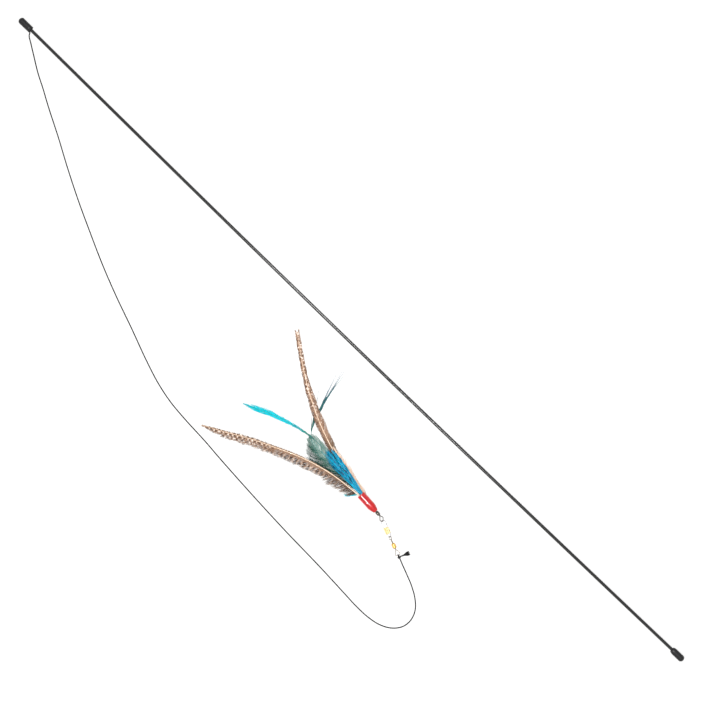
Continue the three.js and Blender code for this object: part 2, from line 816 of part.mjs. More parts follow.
// Clasp: sheet brass folded round the fixed leg, pressed together in the middle, open to the latch arm
const slot = snapWireRadius + claspFit;
const claspHalfHeight = slot + claspSheet;
const claspSection = new THREE.Shape();
claspSection.moveTo(-claspHalfWidth, slot);
claspSection.lineTo(-claspHalfWidth, claspHalfHeight);
for (let turn = 90; turn >= -90; turn -= claspFoldTurn) {
  const reach = snapWaistHalfWidth + claspHalfHeight * Math.cos(turn * degrees);
  claspSection.lineTo(reach, claspHalfHeight * Math.sin(turn * degrees));
}
claspSection.lineTo(-claspHalfWidth, -claspHalfHeight);
claspSection.lineTo(-claspHalfWidth, -slot);
claspSection.lineTo(claspRib, -slot);
claspSection.lineTo(claspRib, slot);
const wireSlot = new THREE.Path();
const slotCorner = claspSlotTurn / 2;
wireSlot.moveTo(
  snapWaistHalfWidth + slot * Math.cos(slotCorner * degrees),
  slot * Math.sin(slotCorner * degrees),
);
for (let turn = slotCorner + claspSlotTurn; turn < 360; turn += claspSlotTurn) {
  const reach = snapWaistHalfWidth + slot * Math.cos(turn * degrees);
  wireSlot.lineTo(reach, slot * Math.sin(turn * degrees));
}
claspSection.holes.push(wireSlot);
const claspOptions = { depth: claspLength, bevelEnabled: false };
const claspGeometry = new THREE.ExtrudeGeometry(claspSection, claspOptions);
claspGeometry.rotateX(Math.PI / 2).rotateZ(Math.PI / 2);
claspGeometry.translate(claspStart, 0, 0);
snap.add(piece("snap_clasp", claspGeometry, 0xd9b251, 0.25, 1));

// Lure, along its own X axis from the nose of the head cap to the mouth. The cap lies on the table, and
// the ring of its swivel droops to the snap's bow, which it holds.
const lure = new THREE.Group();
lure.name = "lure";
const lureHeight = headRadius * Math.cos(Math.PI / capSides) + restGap;
const lureBarrelCentre = -lureSwivelGap - lureSwivelLength / 2;
const ringRoot = new THREE.Vector3(lureBarrelCentre - lureSwivelLength / 2 - lureRingNeck, 0, 0);
const ringToBow = lureRingLength - lureRingWire - lureLinkGap - snapWireRadius;
const ringDroop = Math.asin((lureHeight - swivelHeight) / ringToBow);
const bowInRing = new THREE.Vector3(-ringToBow, 0, 0);
bowInRing.applyEuler(new THREE.Euler(0, -ringDroop, -lureRingBend * degrees, "ZYX")).add(ringRoot);
swivel.updateMatrixWorld(true);
const bowEnd = new THREE.Vector3(snapLength, 0, 0).applyMatrix4(snap.matrixWorld);
lure.rotation.z = lureYaw * degrees;
lure.position.copy(bowEnd).sub(bowInRing.applyEuler(lure.rotation));
wand.add(lure);

// Barrel of the lure's swivel, close to the nose
const lureHole = lureStemRadius + lureStemFit;
const lureBarrelGeometry = barrelShell(
  lureSwivelLength,
  lureSwivelRadius,
  lureSwivelWall,
  lureHole,
);
lureBarrelGeometry.translate(lureBarrelCentre, 0, 0);
lure.add(piece("lure_swivel_barrel", lureBarrelGeometry, 0x34322f, 0.22, 1));

// Outer ring of the lure's swivel: a headed stem and a rounded diamond of wire, bent and tilted
const lureHeadStart = lureHeadSpacing / 2;
const diamondLoop = loopRoute([
  [0.3, lureRingWire + 0.02, 0],
  [-0.5, lureRingWire + 0.05, 0],
  [-lureRingLength * 0.38, lureRingHalfWidth * 0.8, 0],
  [-lureRingLength * 0.56, lureRingHalfWidth, 0],
  [-lureRingLength * 0.76, lureRingHalfWidth * 0.8, 0],
  [-lureRingLength + 0.1, lureRingHalfWidth * 0.25, 0],
  [-lureRingLength, 0, 0],
]);
const diamond = wire(diamondLoop, lureRingWire, wireSides, 34);
diamond.rotateX(lureRingTilt * degrees).rotateY(-ringDroop).rotateZ(-lureRingBend * degrees);
diamond.translate(...ringRoot);
const outerHead = lureBarrelCentre - lureHeadStart;
const lureRingGeometry = joined(
  rod(outerHead - lureHeadLength, outerHead, lureHeadRadius, smallSides),
  rod(ringRoot.x - 0.5, outerHead, lureStemRadius, smallSides),
  diamond,
);
lure.add(piece("lure_swivel_ring", lureRingGeometry, 0x6b625a, 0.3, 1));

// Inner eye of the lure's swivel, through the nose hole and held behind the nose
const innerEyeCentre = glueStart - touchGap - lureEyeWire - lureEyeRadius;
const innerEyeRing = new THREE.TorusGeometry(lureEyeRadius, lureEyeWire, wireSides, 20);
innerEyeRing.translate(innerEyeCentre, 0, 0);
const innerEyeGeometry = joined(
  rod(
    lureBarrelCentre + lureHeadStart,
    lureBarrelCentre + lureHeadStart + lureHeadLength,
    lureHeadRadius,
    smallSides,
  ),
  rod(
    lureBarrelCentre + lureHeadStart,
    innerEyeCentre - lureEyeRadius,
    lureStemRadius,
    smallSides,
  ),
  innerEyeRing,
);
lure.add(piece("lure_swivel_inner_eye", innerEyeGeometry, 0x6b625a, 0.3, 1));

// Head cap, a vinyl shell with a hole in its nose
const headBore = headRadius - headWall;
const noseHole = lureHole;
const headCapGeometry = turned(
  [
    [0, noseHole],
    [0, headNoseRadius - 0.5],
    [0.5, headNoseRadius],
    [2.6, headNoseRadius + 0.75],
    [4.6, headNoseRadius + 1.4],
    [headShoulder, headRadius],
    [headLength - 0.3, headRadius],
    [headLength, headRadius - 0.25],
    [headLength, headBore],
    [headShoulder + 0.6, headBore],
    [headNoseWall + 2.2, headBore - 1.1],
    [headNoseWall, noseHole + 0.5],
    [headNoseWall, noseHole],
    [0, noseHole],
  ],
  capSides,
);
lure.add(piece("head_cap", headCapGeometry, 0xd5131b, 0.28));

// Glue plug with a socket for each quill
const plugRadius = headBore - headBoreGap;
const sockets = feathers.map(({ seat, radius }) => {
  const socket = rod(glueEnd - socketDepth, glueEnd + 1, radius + socketFit, wireSides);
  return socket.translate(0, ...seat);
});
const glueGeometry = cut(rod(glueStart, glueEnd, plugRadius, capSides), ...sockets);
lure.add(piece("glue_plug", glueGeometry, 0xe9dfc9, 0.5));

// Feathers, each a quill seated in the glue with its vane beneath
for (const feather of feathers) {
  const rootAt = (x) => new THREE.Vector3(x, ...feather.seat);
  const points = [
    rootAt(glueEnd - socketDepth + touchGap),
    rootAt(glueEnd),
    rootAt(headLength + quillLead),
    ...feather.route.map(([along, across, up]) => new THREE.Vector3(headLength + along, across, up)),
  ];
  const curve = new THREE.CatmullRomCurve3(points, false, "centripetal");
  const steps = Math.max(12, Math.round(feather.rows * 0.6));
  const quillGeometry = quill(curve, steps, quillSides, feather.radius, quillTipRadius);
  lure.add(piece(feather.name + "_quill", quillGeometry, feather.quill, 0.45));
  lure.add(piece(feather.name + "_vane", vane(curve, feather), feather.colour, 0.7));
}

// The origin is under the middle of the object's own pieces, without the line and what is tied to it
const onTheLine = new Set([
  "line",
  "line_knot",
  "line_tag_end",
  "swivel_barrel",
  "swivel_line_eye",
  "swivel_snap_eye",
  "snap_wire",
  "snap_latch_arm",
  "snap_clasp",
]);
const box = new THREE.Box3();
wand.updateMatrixWorld(true);
wand.traverse((object) => {
  if (object.isMesh && !onTheLine.has(object.name)) box.expandByObject(object, true);
});
wand.position.set(-(box.min.x + box.max.x) / 2, -(box.min.y + box.max.y) / 2, 0);

const part = new THREE.Group();
part.add(wand);
export default part;
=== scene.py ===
import math

import bpy
from mathutils import Matrix, Vector


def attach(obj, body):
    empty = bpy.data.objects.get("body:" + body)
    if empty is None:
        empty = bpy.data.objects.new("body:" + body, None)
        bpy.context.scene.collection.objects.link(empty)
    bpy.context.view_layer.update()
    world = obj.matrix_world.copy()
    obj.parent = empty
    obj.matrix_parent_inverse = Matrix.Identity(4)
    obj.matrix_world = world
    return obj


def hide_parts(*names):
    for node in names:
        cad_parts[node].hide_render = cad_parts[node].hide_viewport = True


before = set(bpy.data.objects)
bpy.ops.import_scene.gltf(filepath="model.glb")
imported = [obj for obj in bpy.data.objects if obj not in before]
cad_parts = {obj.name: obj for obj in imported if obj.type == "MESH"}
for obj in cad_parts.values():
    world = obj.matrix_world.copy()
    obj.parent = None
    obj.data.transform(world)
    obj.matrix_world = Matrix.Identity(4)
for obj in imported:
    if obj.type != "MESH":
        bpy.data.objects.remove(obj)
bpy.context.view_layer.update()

# Camera: looks straight down at the wand on the table, turned so that the rod runs from the tip cap
# at the top left to the butt cap at the bottom right.
MM = 0.001
VIEW_WIDTH = 719.1 * MM
VIEW_CENTRE = Vector((-20.3, -72.95, 0)) * MM
CAMERA_LENS = 100
CAMERA_SENSOR = 36
CAMERA_REACH = 20
IMAGE_RIGHT = Vector((-0.71901, -0.69500, 0)).normalized()
IMAGE_UP = Vector((0, 0, 1)).cross(IMAGE_RIGHT)
camera_data = bpy.data.cameras.new("camera")
camera_data.lens = CAMERA_LENS
camera_data.sensor_width = CAMERA_SENSOR
camera_data.clip_end = CAMERA_REACH
camera = bpy.data.objects.new("camera", camera_data)
bpy.context.scene.collection.objects.link(camera)
camera_place = VIEW_CENTRE + Vector((0, 0, VIEW_WIDTH * CAMERA_LENS / CAMERA_SENSOR))
camera_turn = Matrix((IMAGE_RIGHT, IMAGE_UP, (0, 0, 1))).transposed().to_4x4()
camera.matrix_world = Matrix.Translation(camera_place) @ camera_turn
bpy.context.scene.camera = camera
bpy.context.scene.view_settings.view_transform = "Standard"


# Table top: plain white laminate, wide enough for every view. It takes the wand's soft shadow, and the
# camera sees it as white paper.
def linear(colour):
    """An sRGB hex colour as the linear red, green, blue and alpha that Blender wants"""
    shades = [int(colour[i : i + 2], 16) / 255 for i in (1, 3, 5)]
    return [s / 12.92 if s <= 0.04045 else ((s + 0.055) / 1.055) ** 2.4 for s in shades] + [1]


def add_node(tree, kind, sockets=(), stops=(), **settings):
    """Adds a node with its settings, the stops of its colour ramp as (position, hex colour), and its
    sockets as values or as links, where a node stands for its first output"""
    made = tree.nodes.new(kind)
    for name, value in settings.items():
        setattr(made, name, value)
    for i, (position, colour) in enumerate(stops):
        marks = made.color_ramp.elements
        mark = marks[i] if i < 2 else marks.new(position)
        mark.position = position
        mark.color = linear(colour)
    for key, value in sockets.items() if isinstance(sockets, dict) else enumerate(sockets):
        if isinstance(value, bpy.types.Node):
            value = value.outputs[0]
        if isinstance(value, bpy.types.NodeSocket):
            tree.links.new(value, made.inputs[key])
        else:
            made.inputs[key].default_value = value
    return made


def new_material(name, **sockets):
    """A material with its shader, whose sockets are set by name with _ for a space"""
    material = bpy.data.materials.new(name)
    material.use_nodes = True
    shader = material.node_tree.nodes["Principled BSDF"]
    for key, value in sockets.items():
        shader.inputs[key.replace("_", " ")].default_value = value
    return material, material.node_tree, shader


TABLE_SIZE = 4
TABLE_DROP = 0.05 * MM
TABLE_WHITE = "#F4F4F3"
SEEN_WHITE = 0.5
paper, tree, shader = new_material("white laminate, matt", Roughness=0.9)
shader.inputs["Base Color"].default_value = linear(TABLE_WHITE)
rays = add_node(tree, "ShaderNodeLightPath").outputs
seen = add_node(tree, "ShaderNodeMath", [rays["Is Camera Ray"], SEEN_WHITE], operation="MULTIPLY")
bright = add_node(tree, "ShaderNodeEmission", {"Color": (1, 1, 1, 1), "Strength": 1.0})
mixed = add_node(tree, "ShaderNodeMixShader", [seen, shader, bright])
tree.links.new(mixed.outputs[0], tree.nodes["Material Output"].inputs["Surface"])
corners = [(x * TABLE_SIZE, y * TABLE_SIZE, -TABLE_DROP) for x, y in ((-1, -1), (1, -1), (1, 1), (-1, 1))]
table_mesh = bpy.data.meshes.new("table")
table_mesh.from_pydata(corners, [], [(0, 1, 2, 3)])
table_mesh.materials.append(paper)
table = bpy.data.objects.new("table", table_mesh)
bpy.context.scene.collection.objects.link(table)

# Studio light: a room that is full white to the camera and in reflections, and lights the wand dimly. Of
# the lamps one hangs wide overhead, two light up the middles of the rod and of the lure's metal, a small
# bright one draws the line on the head cap, and a low one shines on the clasp.
ROOM_LEVEL = 0.3
world = bpy.data.worlds.new("white room")
bpy.context.scene.world = world
world.use_nodes = True
tree = world.node_tree
tree.nodes.clear()
rays = add_node(tree, "ShaderNodeLightPath").outputs
white_rays = rays["Is Camera Ray"]
for kind in ("Is Transmission Ray", "Is Glossy Ray"):
    white_rays = add_node(tree, "ShaderNodeMath", [white_rays, rays[kind]], operation="MAXIMUM")
room = add_node(tree, "ShaderNodeBackground", {"Color": (1, 1, 1, 1), "Strength": ROOM_LEVEL})
backdrop = add_node(tree, "ShaderNodeBackground", {"Color": (1, 1, 1, 1), "Strength": 1.0})
mixed = add_node(tree, "ShaderNodeMixShader", [white_rays, room, backdrop])
add_node(tree, "ShaderNodeOutputWorld", {"Surface": mixed})


def softbox(name, place, target, size, radiance):
    """A rectangular lamp of this width and length and this brightness, turned to the target"""
    light = bpy.data.lights.new(name, "AREA")
    light.shape = "RECTANGLE"
    light.size, light.size_y = size
    light.energy = radiance * math.pi * size[0] * size[1]
    lamp = bpy.data.objects.new(name, light)
    bpy.context.scene.collection.objects.link(lamp)
    aim = (Vector(target) - Vector(place)).to_track_quat("-Z", "Y").to_matrix().to_4x4()
    lamp.matrix_world = Matrix.Translation(place) @ aim


softbox("softbox_overhead", place=(-0.05, 0, 1.6), target=(-0.05, 0, 0), size=(3.4, 3.4), radiance=0.34)
softbox("softbox_rod", place=(0.11, -0.2, 1.5), target=(0.11, -0.2, 0), size=(0.2, 0.5), radiance=52)
softbox("softbox_metal", place=(-0.25, 0.12, 1.5), target=(-0.25, 0.12, 0), size=(0.3, 0.3), radiance=10)
softbox("softbox_line", place=(-0.185, 0.4, 1.5), target=(-0.185, 0.4, 0), size=(0.12, 0.05), radiance=360)
softbox("softbox_low", place=(0.24, 1.4, 0.49), target=(-0.16, 0.03, 0), size=(0.5, 0.35), radiance=4)


# Rod: a pultruded fibreglass blank, 1/8 inch thick, with a gloss black coat. Its ends are eased, and it
# bows sideways a little between the caps.
def mesh_piece(name, verts, faces, place, material, body, nodes, slot):
    """A smooth closed piece, set in place by its mesh, which rides on a body and stands for CAD nodes"""
    mesh = bpy.data.meshes.new(name)
    mesh.from_pydata([place @ Vector(v) for v in verts], [], faces)
    mesh.materials.append(material)
    mesh.shade_smooth()
    made = bpy.data.objects.new(name, mesh)
    bpy.context.scene.collection.objects.link(made)
    hand_over(made, body, nodes)
    return made


def hand_over(made, body, nodes):
    """Makes the piece ride on its body and stand for its CAD nodes, which it hides"""
    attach(made, body)
    if nodes:
        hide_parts(*nodes)


def turned(profile, sides):
    """Points and faces turned about +X from (x, radius) pairs that start and end on the axis or, for a
    hollow one, come back to the first pair"""
    rings, verts, faces = [], [], []
    for x, radius in profile:
        ring = []
        for j in range(sides if radius > 0 else 1):
            turn = 2 * math.pi * j / sides
            verts.append((x, radius * math.cos(turn), radius * math.sin(turn)))
            ring.append(len(verts) - 1)
        rings.append(ring)
    if profile[0][1] > 0:
        rings.append(rings[0])
    for one, other in zip(rings, rings[1:]):
        for j in range(sides):
            k = (j + 1) % sides
            face = [one[j % len(one)], one[k % len(one)], other[k % len(other)], other[j % len(other)]]
            faces.append([v for i, v in enumerate(face) if v not in face[:i]])
    return verts, faces


def finish(tree, shader, grain, stops, strength, depth, gloss=None, relief=None):
    """A surface that follows its grain: its colour between the stops, its roughness between the two of
    gloss, and a relief of this strength and depth, which may have a grain of its own"""
    shades = add_node(tree, "ShaderNodeValToRGB", [grain], stops=stops)
    tree.links.new(shades.outputs[0], shader.inputs["Base Color"])
    if gloss:
        rough = add_node(tree, "ShaderNodeMapRange", {0: grain, 3: gloss[0], 4: gloss[1]})
        tree.links.new(rough.outputs[0], shader.inputs["Roughness"])
    height = grain if relief is None else relief
    bump = add_node(tree, "ShaderNodeBump", {"Strength": strength, "Distance": depth, "Height": height})
    tree.links.new(bump.outputs[0], shader.inputs["Normal"])


ROD_SIDES = 48
ROD_RADIUS = 1.6 * MM
ROD_SPAN = (-458.2 * MM, 456.2 * MM)
ROD_EASE = 0.3 * MM
AXIS_Y = -81.59 * MM
AXIS_Z = 3.371 * MM
rod_axis = Matrix.Translation((0, AXIS_Y, AXIS_Z))

# Gloss black epoxy coat: deep black with a clear wet highlight, and faint streaks where the glass
# fibres run lengthwise under it.
STREAKS_PER_METRE = (40, 2600, 2600)
coat, tree, shader = new_material(
    "gloss black epoxy on fibreglass",
    Specular_IOR_Level=0.0,
    Coat_Weight=1.0,
    Coat_Roughness=0.16,
    Coat_IOR=1.43,
)
place = add_node(tree, "ShaderNodeTexCoord").outputs["Object"]
stretch = add_node(tree, "ShaderNodeMapping", {"Vector": place, "Scale": STREAKS_PER_METRE})
streaks = add_node(tree, "ShaderNodeTexNoise", {"Vector": stretch, "Scale": 1.0, "Detail": 3.0})
blacks = ((0, "#060606"), (1, "#161617"))
finish(tree, shader, streaks, blacks, strength=0.15, depth=0.04 * MM, gloss=(0.18, 0.34))

ROD_BOW = 2.6 * MM
BOW_SPAN = (-444.5 * MM, 444.3 * MM)
BOW_STEPS = 48
rod_profile = [
    (ROD_SPAN[0], 0),
    (ROD_SPAN[0], ROD_RADIUS - ROD_EASE),
    (ROD_SPAN[0] + ROD_EASE, ROD_RADIUS),
    *[(BOW_SPAN[0] + (BOW_SPAN[1] - BOW_SPAN[0]) * i / BOW_STEPS, ROD_RADIUS) for i in range(BOW_STEPS + 1)],
    (ROD_SPAN[1] - ROD_EASE, ROD_RADIUS),
    (ROD_SPAN[1], ROD_RADIUS - ROD_EASE),
    (ROD_SPAN[1], 0),
]
rod_verts, rod_faces = turned(rod_profile, ROD_SIDES)
for i, (x, y, z) in enumerate(rod_verts):
    share = min(1, max(0, (x - BOW_SPAN[0]) / (BOW_SPAN[1] - BOW_SPAN[0])))
    rod_verts[i] = (x, y + ROD_BOW * math.sin(math.pi * share), z)
mesh_piece("fibreglass_rod", rod_verts, rod_faces, rod_axis, coat, "wand", ["rod"], "fibreglass")

# End caps: soft black vinyl, dipped over a former and pushed onto the rod's ends. The butt cap tapers
# to the rod, and the tip cap has a rolled rim beside which the line comes out.
CAP_SIDES = 64
CAP_RADIUS = 3.4 * MM
CAP_BORE = 1.7 * MM

# Dipped vinyl: satin black, with a soft broad highlight and the slight orange peel of the dip.
vinyl, tree, shader = new_material(
    "black dipped vinyl, satin", Roughness=0.42, IOR=1.53, Specular_IOR_Level=0.25
)
place = add_node(tree, "ShaderNodeTexCoord").outputs["Object"]
peel = add_node(tree, "ShaderNodeTexNoise", {"Vector": place, "Scale": 900.0, "Detail": 4.0})
blacks = ((0, "#080809"), (1, "#18181A"))
finish(tree, shader, peel, blacks, strength=0.25, depth=0.12 * MM, gloss=(0.34, 0.52))


def rounded(corners, reach, steps=5):
    """A profile with each inner corner rounded, starting no further from it than reach"""
    points = [corners[0]]
    for before, here, after in zip(corners, corners[1:], corners[2:]):
        here = Vector(here)
        back, ahead = Vector(before) - here, Vector(after) - here
        one = here + back * min(0.5, reach / back.length)
        other = here + ahead * min(0.5, reach / ahead.length)
        for i in range(steps + 1):
            t = i / steps
            points.append(tuple(one * (1 - t) ** 2 + here * 2 * t * (1 - t) + other * t * t))
    return points + [corners[-1]]


def domed_end(length, radius, steps):
    """The profile of a domed end, from its tip on the axis to its full radius"""
    turns = [math.pi / 2 * i / steps for i in range(steps + 1)]
    return [(length * (1 - math.cos(t)), radius * math.sin(t)) for t in turns]


CAP_END = 460 * MM
CAP_DOME = 2.9 * MM
DOME_STEPS = 14
BUTT_LENGTH = 15.5 * MM
BUTT_TAPER = 2.6 * MM
BUTT_MOUTH = 2.4 * MM
BUTT_FLOOR = 1.5 * MM
BUTT_ROUNDING = 0.9 * MM
butt_shoulder = rounded(
    [
        (CAP_DOME, CAP_RADIUS),
        (BUTT_LENGTH - BUTT_TAPER, CAP_RADIUS),
        (BUTT_LENGTH - BUTT_TAPER * 0.28, (CAP_RADIUS + BUTT_MOUTH) / 2),
        (BUTT_LENGTH, BUTT_MOUTH),
        (BUTT_LENGTH, CAP_BORE),
        (BUTT_FLOOR, CAP_BORE),
        (BUTT_FLOOR, 0),
    ],
    BUTT_ROUNDING,
)
mesh_piece(
    "butt_end_cap",
    *turned(domed_end(CAP_DOME, CAP_RADIUS, DOME_STEPS) + butt_shoulder[1:], CAP_SIDES),
    Matrix.Translation((-CAP_END, AXIS_Y, AXIS_Z)),
    vinyl,
    "wand",
    ["butt_cap"],
    "black_vinyl",
)

TIP_LENGTH = 15.7 * MM
TIP_RIM = TIP_LENGTH - 1.6 * MM
TIP_FLOOR = 1.2 * MM
TIP_ROUNDING = 0.5 * MM
tip_shoulder = rounded(
    [
        (CAP_DOME, CAP_RADIUS),
        (TIP_RIM - 0.9 * MM, CAP_RADIUS - 0.05 * MM),
        (TIP_RIM, CAP_RADIUS - 0.32 * MM),
        (TIP_RIM + 0.6 * MM, CAP_RADIUS),
        (TIP_LENGTH - 0.1 * MM, CAP_RADIUS),
        (TIP_LENGTH, CAP_RADIUS - 0.7 * MM),
        (TIP_LENGTH, CAP_BORE + 0.5 * MM),
        (TIP_LENGTH - 1.2 * MM, CAP_BORE),
        (TIP_FLOOR, CAP_BORE),
        (TIP_FLOOR, 0),
    ],
    TIP_ROUNDING,
)
mesh_piece(
    "tip_end_cap",
    *turned(domed_end(CAP_DOME, CAP_RADIUS, DOME_STEPS) + tip_shoulder[1:], CAP_SIDES),
    Matrix.Translation((CAP_END, AXIS_Y, AXIS_Z)) @ Matrix.Rotation(math.pi, 4, "Z"),
    vinyl,
    "wand",
    ["tip_cap"],
    "black_vinyl",
)


# Line: a limp braid of black nylon, about a millimetre thick. It comes out of the tip cap beside the
# rod, where a knot inside holds it, and lies on the table in one long loose curve.
def smooth_path(points, spacing):
    """Evenly spaced points on a centripetal Catmull-Rom curve through the given ones"""
    points = [Vector(p) for p in points]
    ends = [points[0] * 2 - points[1], *points, points[-1] * 2 - points[-2]]
    fine = [points[0]]
    for a, b, c, d in zip(ends, ends[1:], ends[2:], ends[3:]):
        ab, bc, cd = ((one - other).length ** 0.5 for one, other in ((a, b), (b, c), (c, d)))
        start = ((b - a) / ab - (c - a) / (ab + bc) + (c - b) / bc) * bc
        end = ((c - b) / bc - (d - b) / (bc + cd) + (d - c) / cd) * bc
        for i in range(1, 25):
            t = i / 24
            fine.append(
                b * (2 * t**3 - 3 * t**2 + 1)
                + start * (t**3 - 2 * t**2 + t)
                + c * (3 * t**2 - 2 * t**3)
                + end * (t**3 - t**2)
            )
    lengths = [0]
    for one, other in zip(fine, fine[1:]):
        lengths.append(lengths[-1] + (other - one).length)
    count = max(2, round(lengths[-1] / spacing))
    even, k = [], 0
    for i in range(count + 1):
        wanted = lengths[-1] * i / count
        while k < len(lengths) - 2 and lengths[k + 1] < wanted:
            k += 1
        share = (wanted - lengths[k]) / (lengths[k + 1] - lengths[k])
        even.append(fine[k].lerp(fine[k + 1], min(1, share)))
    return even


def thread(name, points, numbers=None):
    """A bare line of edges through the points, with named numbers at each, for a tree to work on"""
    mesh = bpy.data.meshes.new(name)
    mesh.from_pydata(points, [(i, i + 1) for i in range(len(points) - 1)], [])
    for key, values in (numbers or {}).items():
        kind = "FLOAT_VECTOR" if isinstance(values[0], Vector) else "FLOAT"
        attribute = mesh.attributes.new(key, kind, "POINT")
        flat = [x for v in values for x in v] if kind == "FLOAT_VECTOR" else values
        attribute.data.foreach_set("vector" if kind == "FLOAT_VECTOR" else "value", flat)
    made = bpy.data.objects.new(name, mesh)
    bpy.context.scene.collection.objects.link(made)
    return made


def run_tree(source, tree, body, nodes, slot, **sizes):
    """Runs the tree on the thread with these inputs, and leaves a plain mesh on its body"""
    modifier = source.modifiers.new("tree", "NODES")
    modifier.node_group = tree
    for item in tree.interface.items_tree:
        key = item.name.lower().replace(" ", "_")
        if item.in_out == "INPUT" and key in sizes:
            modifier[item.identifier] = sizes[key]
    seen = source.evaluated_get(bpy.context.evaluated_depsgraph_get())
    mesh = bpy.data.meshes.new_from_object(seen)
    source.modifiers.remove(modifier)
    source.data = mesh
    hand_over(source, body, nodes)
    return source


def new_tree(name, **inputs):
    """A tree with a geometry in and out and named inputs, and its group input node"""
    tree = bpy.data.node_groups.new(name, "GeometryNodeTree")
    tree.interface.new_socket("Geometry", in_out="INPUT", socket_type="NodeSocketGeometry")
    for key, kind in inputs.items():
        tree.interface.new_socket(key.replace("_", " "), in_out="INPUT", socket_type="NodeSocket" + kind)
    tree.interface.new_socket("Geometry", in_out="OUTPUT", socket_type="NodeSocketGeometry")
    return tree, add_node(tree, "NodeGroupInput").outputs


STRAND_PAIRS = 3


def bundles(tree, turn, around):
    """How high the crossing bundles of a braid stand, 0 to 1, where they have made this turn and at this
    share of the way round"""
    angle = add_node(tree, "ShaderNodeMath", [around, 2 * math.pi * STRAND_PAIRS], operation="MULTIPLY")
    heights = []
    for way in ("ADD", "SUBTRACT"):
        crossing = add_node(tree, "ShaderNodeMath", [angle, turn], operation=way)
        wave = add_node(tree, "ShaderNodeMath", [crossing], operation="SINE")
        heights.append(add_node(tree, "ShaderNodeMath", [wave], operation="ABSOLUTE"))
    return add_node(tree, "ShaderNodeMath", heights, operation="MAXIMUM")


# The braid's tree draws a tube along a thread and raises its skin into the bundles. Their mean height is
# taken off, so that the tube keeps its radius.
BRAID_SIDES = 14
RIDGE_MEAN = 0.85
braid, inputs = new_tree(
    "braid", Radius="Float", Strand_Height="Float", Braid_Pitch="Float", Step="Float", Material="Material"
)
store = "GeometryNodeStoreNamedAttribute"
spline = add_node(braid, "GeometryNodeSplineParameter").outputs
curve = add_node(braid, "GeometryNodeMeshToCurve", [inputs["Geometry"]])
curve = add_node(braid, "GeometryNodeResampleCurve", {0: curve, "Length": inputs["Step"]}, mode="LENGTH")
curve = add_node(braid, store, {"Geometry": curve, "Name": "along", "Value": spline["Length"]})
circle_size = {"Resolution": BRAID_SIDES, "Radius": inputs["Radius"]}
circle = add_node(braid, "GeometryNodeCurvePrimitiveCircle", circle_size)
circle = add_node(braid, store, {"Geometry": circle, "Name": "around", "Value": spline["Factor"]})
tube = {"Curve": curve, "Profile Curve": circle, "Fill Caps": True}
skin = add_node(braid, "GeometryNodeCurveToMesh", tube)
along = add_node(braid, "GeometryNodeInputNamedAttribute", {"Name": "along"})
around = add_node(braid, "GeometryNodeInputNamedAttribute", {"Name": "around"})
turn = add_node(braid, "ShaderNodeMath", [along, inputs["Braid Pitch"]], operation="DIVIDE")
turn = add_node(braid, "ShaderNodeMath", [turn, 2 * math.pi], operation="MULTIPLY")
height = add_node(braid, "ShaderNodeMath", [bundles(braid, turn, around), RIDGE_MEAN], operation="SUBTRACT")
height = add_node(braid, "ShaderNodeMath", [height, inputs["Strand Height"]], operation="MULTIPLY")
normal = add_node(braid, "GeometryNodeInputNormal")
offset = add_node(braid, "ShaderNodeVectorMath", {0: normal, "Scale": height}, operation="SCALE")
skin = add_node(braid, "GeometryNodeSetPosition", {"Geometry": skin, "Offset": offset})
skin = add_node(braid, "GeometryNodeSetShadeSmooth", {"Geometry": skin})
skin = add_node(braid, "GeometryNodeRealizeInstances", {"Geometry": skin})
skin = add_node(braid, "GeometryNodeSetMaterial", {"Geometry": skin, "Material": inputs["Material"]})
add_node(braid, "NodeGroupOutput", [skin])

# Braided nylon: matt black filaments in bundles that cross, with grooves between them that are painted darker
# as shade. The bundles are 1.4 mm long on the real line too, so they are drawn at their own size.
BRAID_PITCH = 2.8 * MM
nylon, tree, shader = new_material(
    "black braided nylon",
    Roughness=0.68,
    IOR=1.53,
    Specular_IOR_Level=0.25,
    Sheen_Weight=0.04,
    Sheen_Roughness=0.4,
)
around = add_node(tree, "ShaderNodeAttribute", attribute_name="around").outputs["Fac"]
along = add_node(tree, "ShaderNodeAttribute", attribute_name="along").outputs["Fac"]
turn = add_node(tree, "ShaderNodeMath", [along, 2 * math.pi / BRAID_PITCH], operation="MULTIPLY")
place = add_node(tree, "ShaderNodeTexCoord").outputs["Object"]
fuzz = add_node(tree, "ShaderNodeTexNoise", {"Vector": place, "Scale": 4000.0, "Detail": 2.0})
height = add_node(tree, "ShaderNodeMath", [bundles(tree, turn, around), fuzz], operation="MULTIPLY")
# Painted shade: the colour follows the bundles' height, darker down in the grooves between them.
finish(tree, shader, height, ((0.3, "#020203"), (0.7, "#111113")), strength=0.5, depth=0.06 * MM)

LINE_RADIUS = 0.62 * MM
LINE_HEIGHT = 0.64
LINE_SPACING = 1.5 * MM
SHIFT_Y = -81.59
on_table = [
    (423.8, 17.4), (410, 26.1), (395.2, 34), (380.8, 42.2), (351.2, 57.9), (322.2, 74.1), (292.4, 89.7),
    (261.9, 104.4), (230.9, 118.8), (198.8, 132.1), (165.8, 144.4), (133.3, 157), (110, 164.9), (88, 170),
    (68.2, 172.3), (33.1, 174.6), (14, 176.4), (-30.4, 179.8), (-83.5, 183), (-134.9, 185),
    (-170.1, 187), (-187.4, 188), (-204.1, 187.7), (-218.1, 185), (-228.9, 179.2), (-235.8, 170.6),
    (-237.3, 160.4), (-233.6, 150.2), (-226, 142.3), (-214.2, 135.1),
]
line_points = [
    *[(442.0, 5.12, 2.9), (440.3, 6.7, 2.2), (435.8, 9.6, 1.2), (431.6, 12.4, 0.75)],
    *[(x, y, LINE_HEIGHT) for x, y in on_table],
    *[(-200.9, 129.4, 0.8), (-192.5, 126, 1.5), (-186.6, 123.5, 2.1)],
]
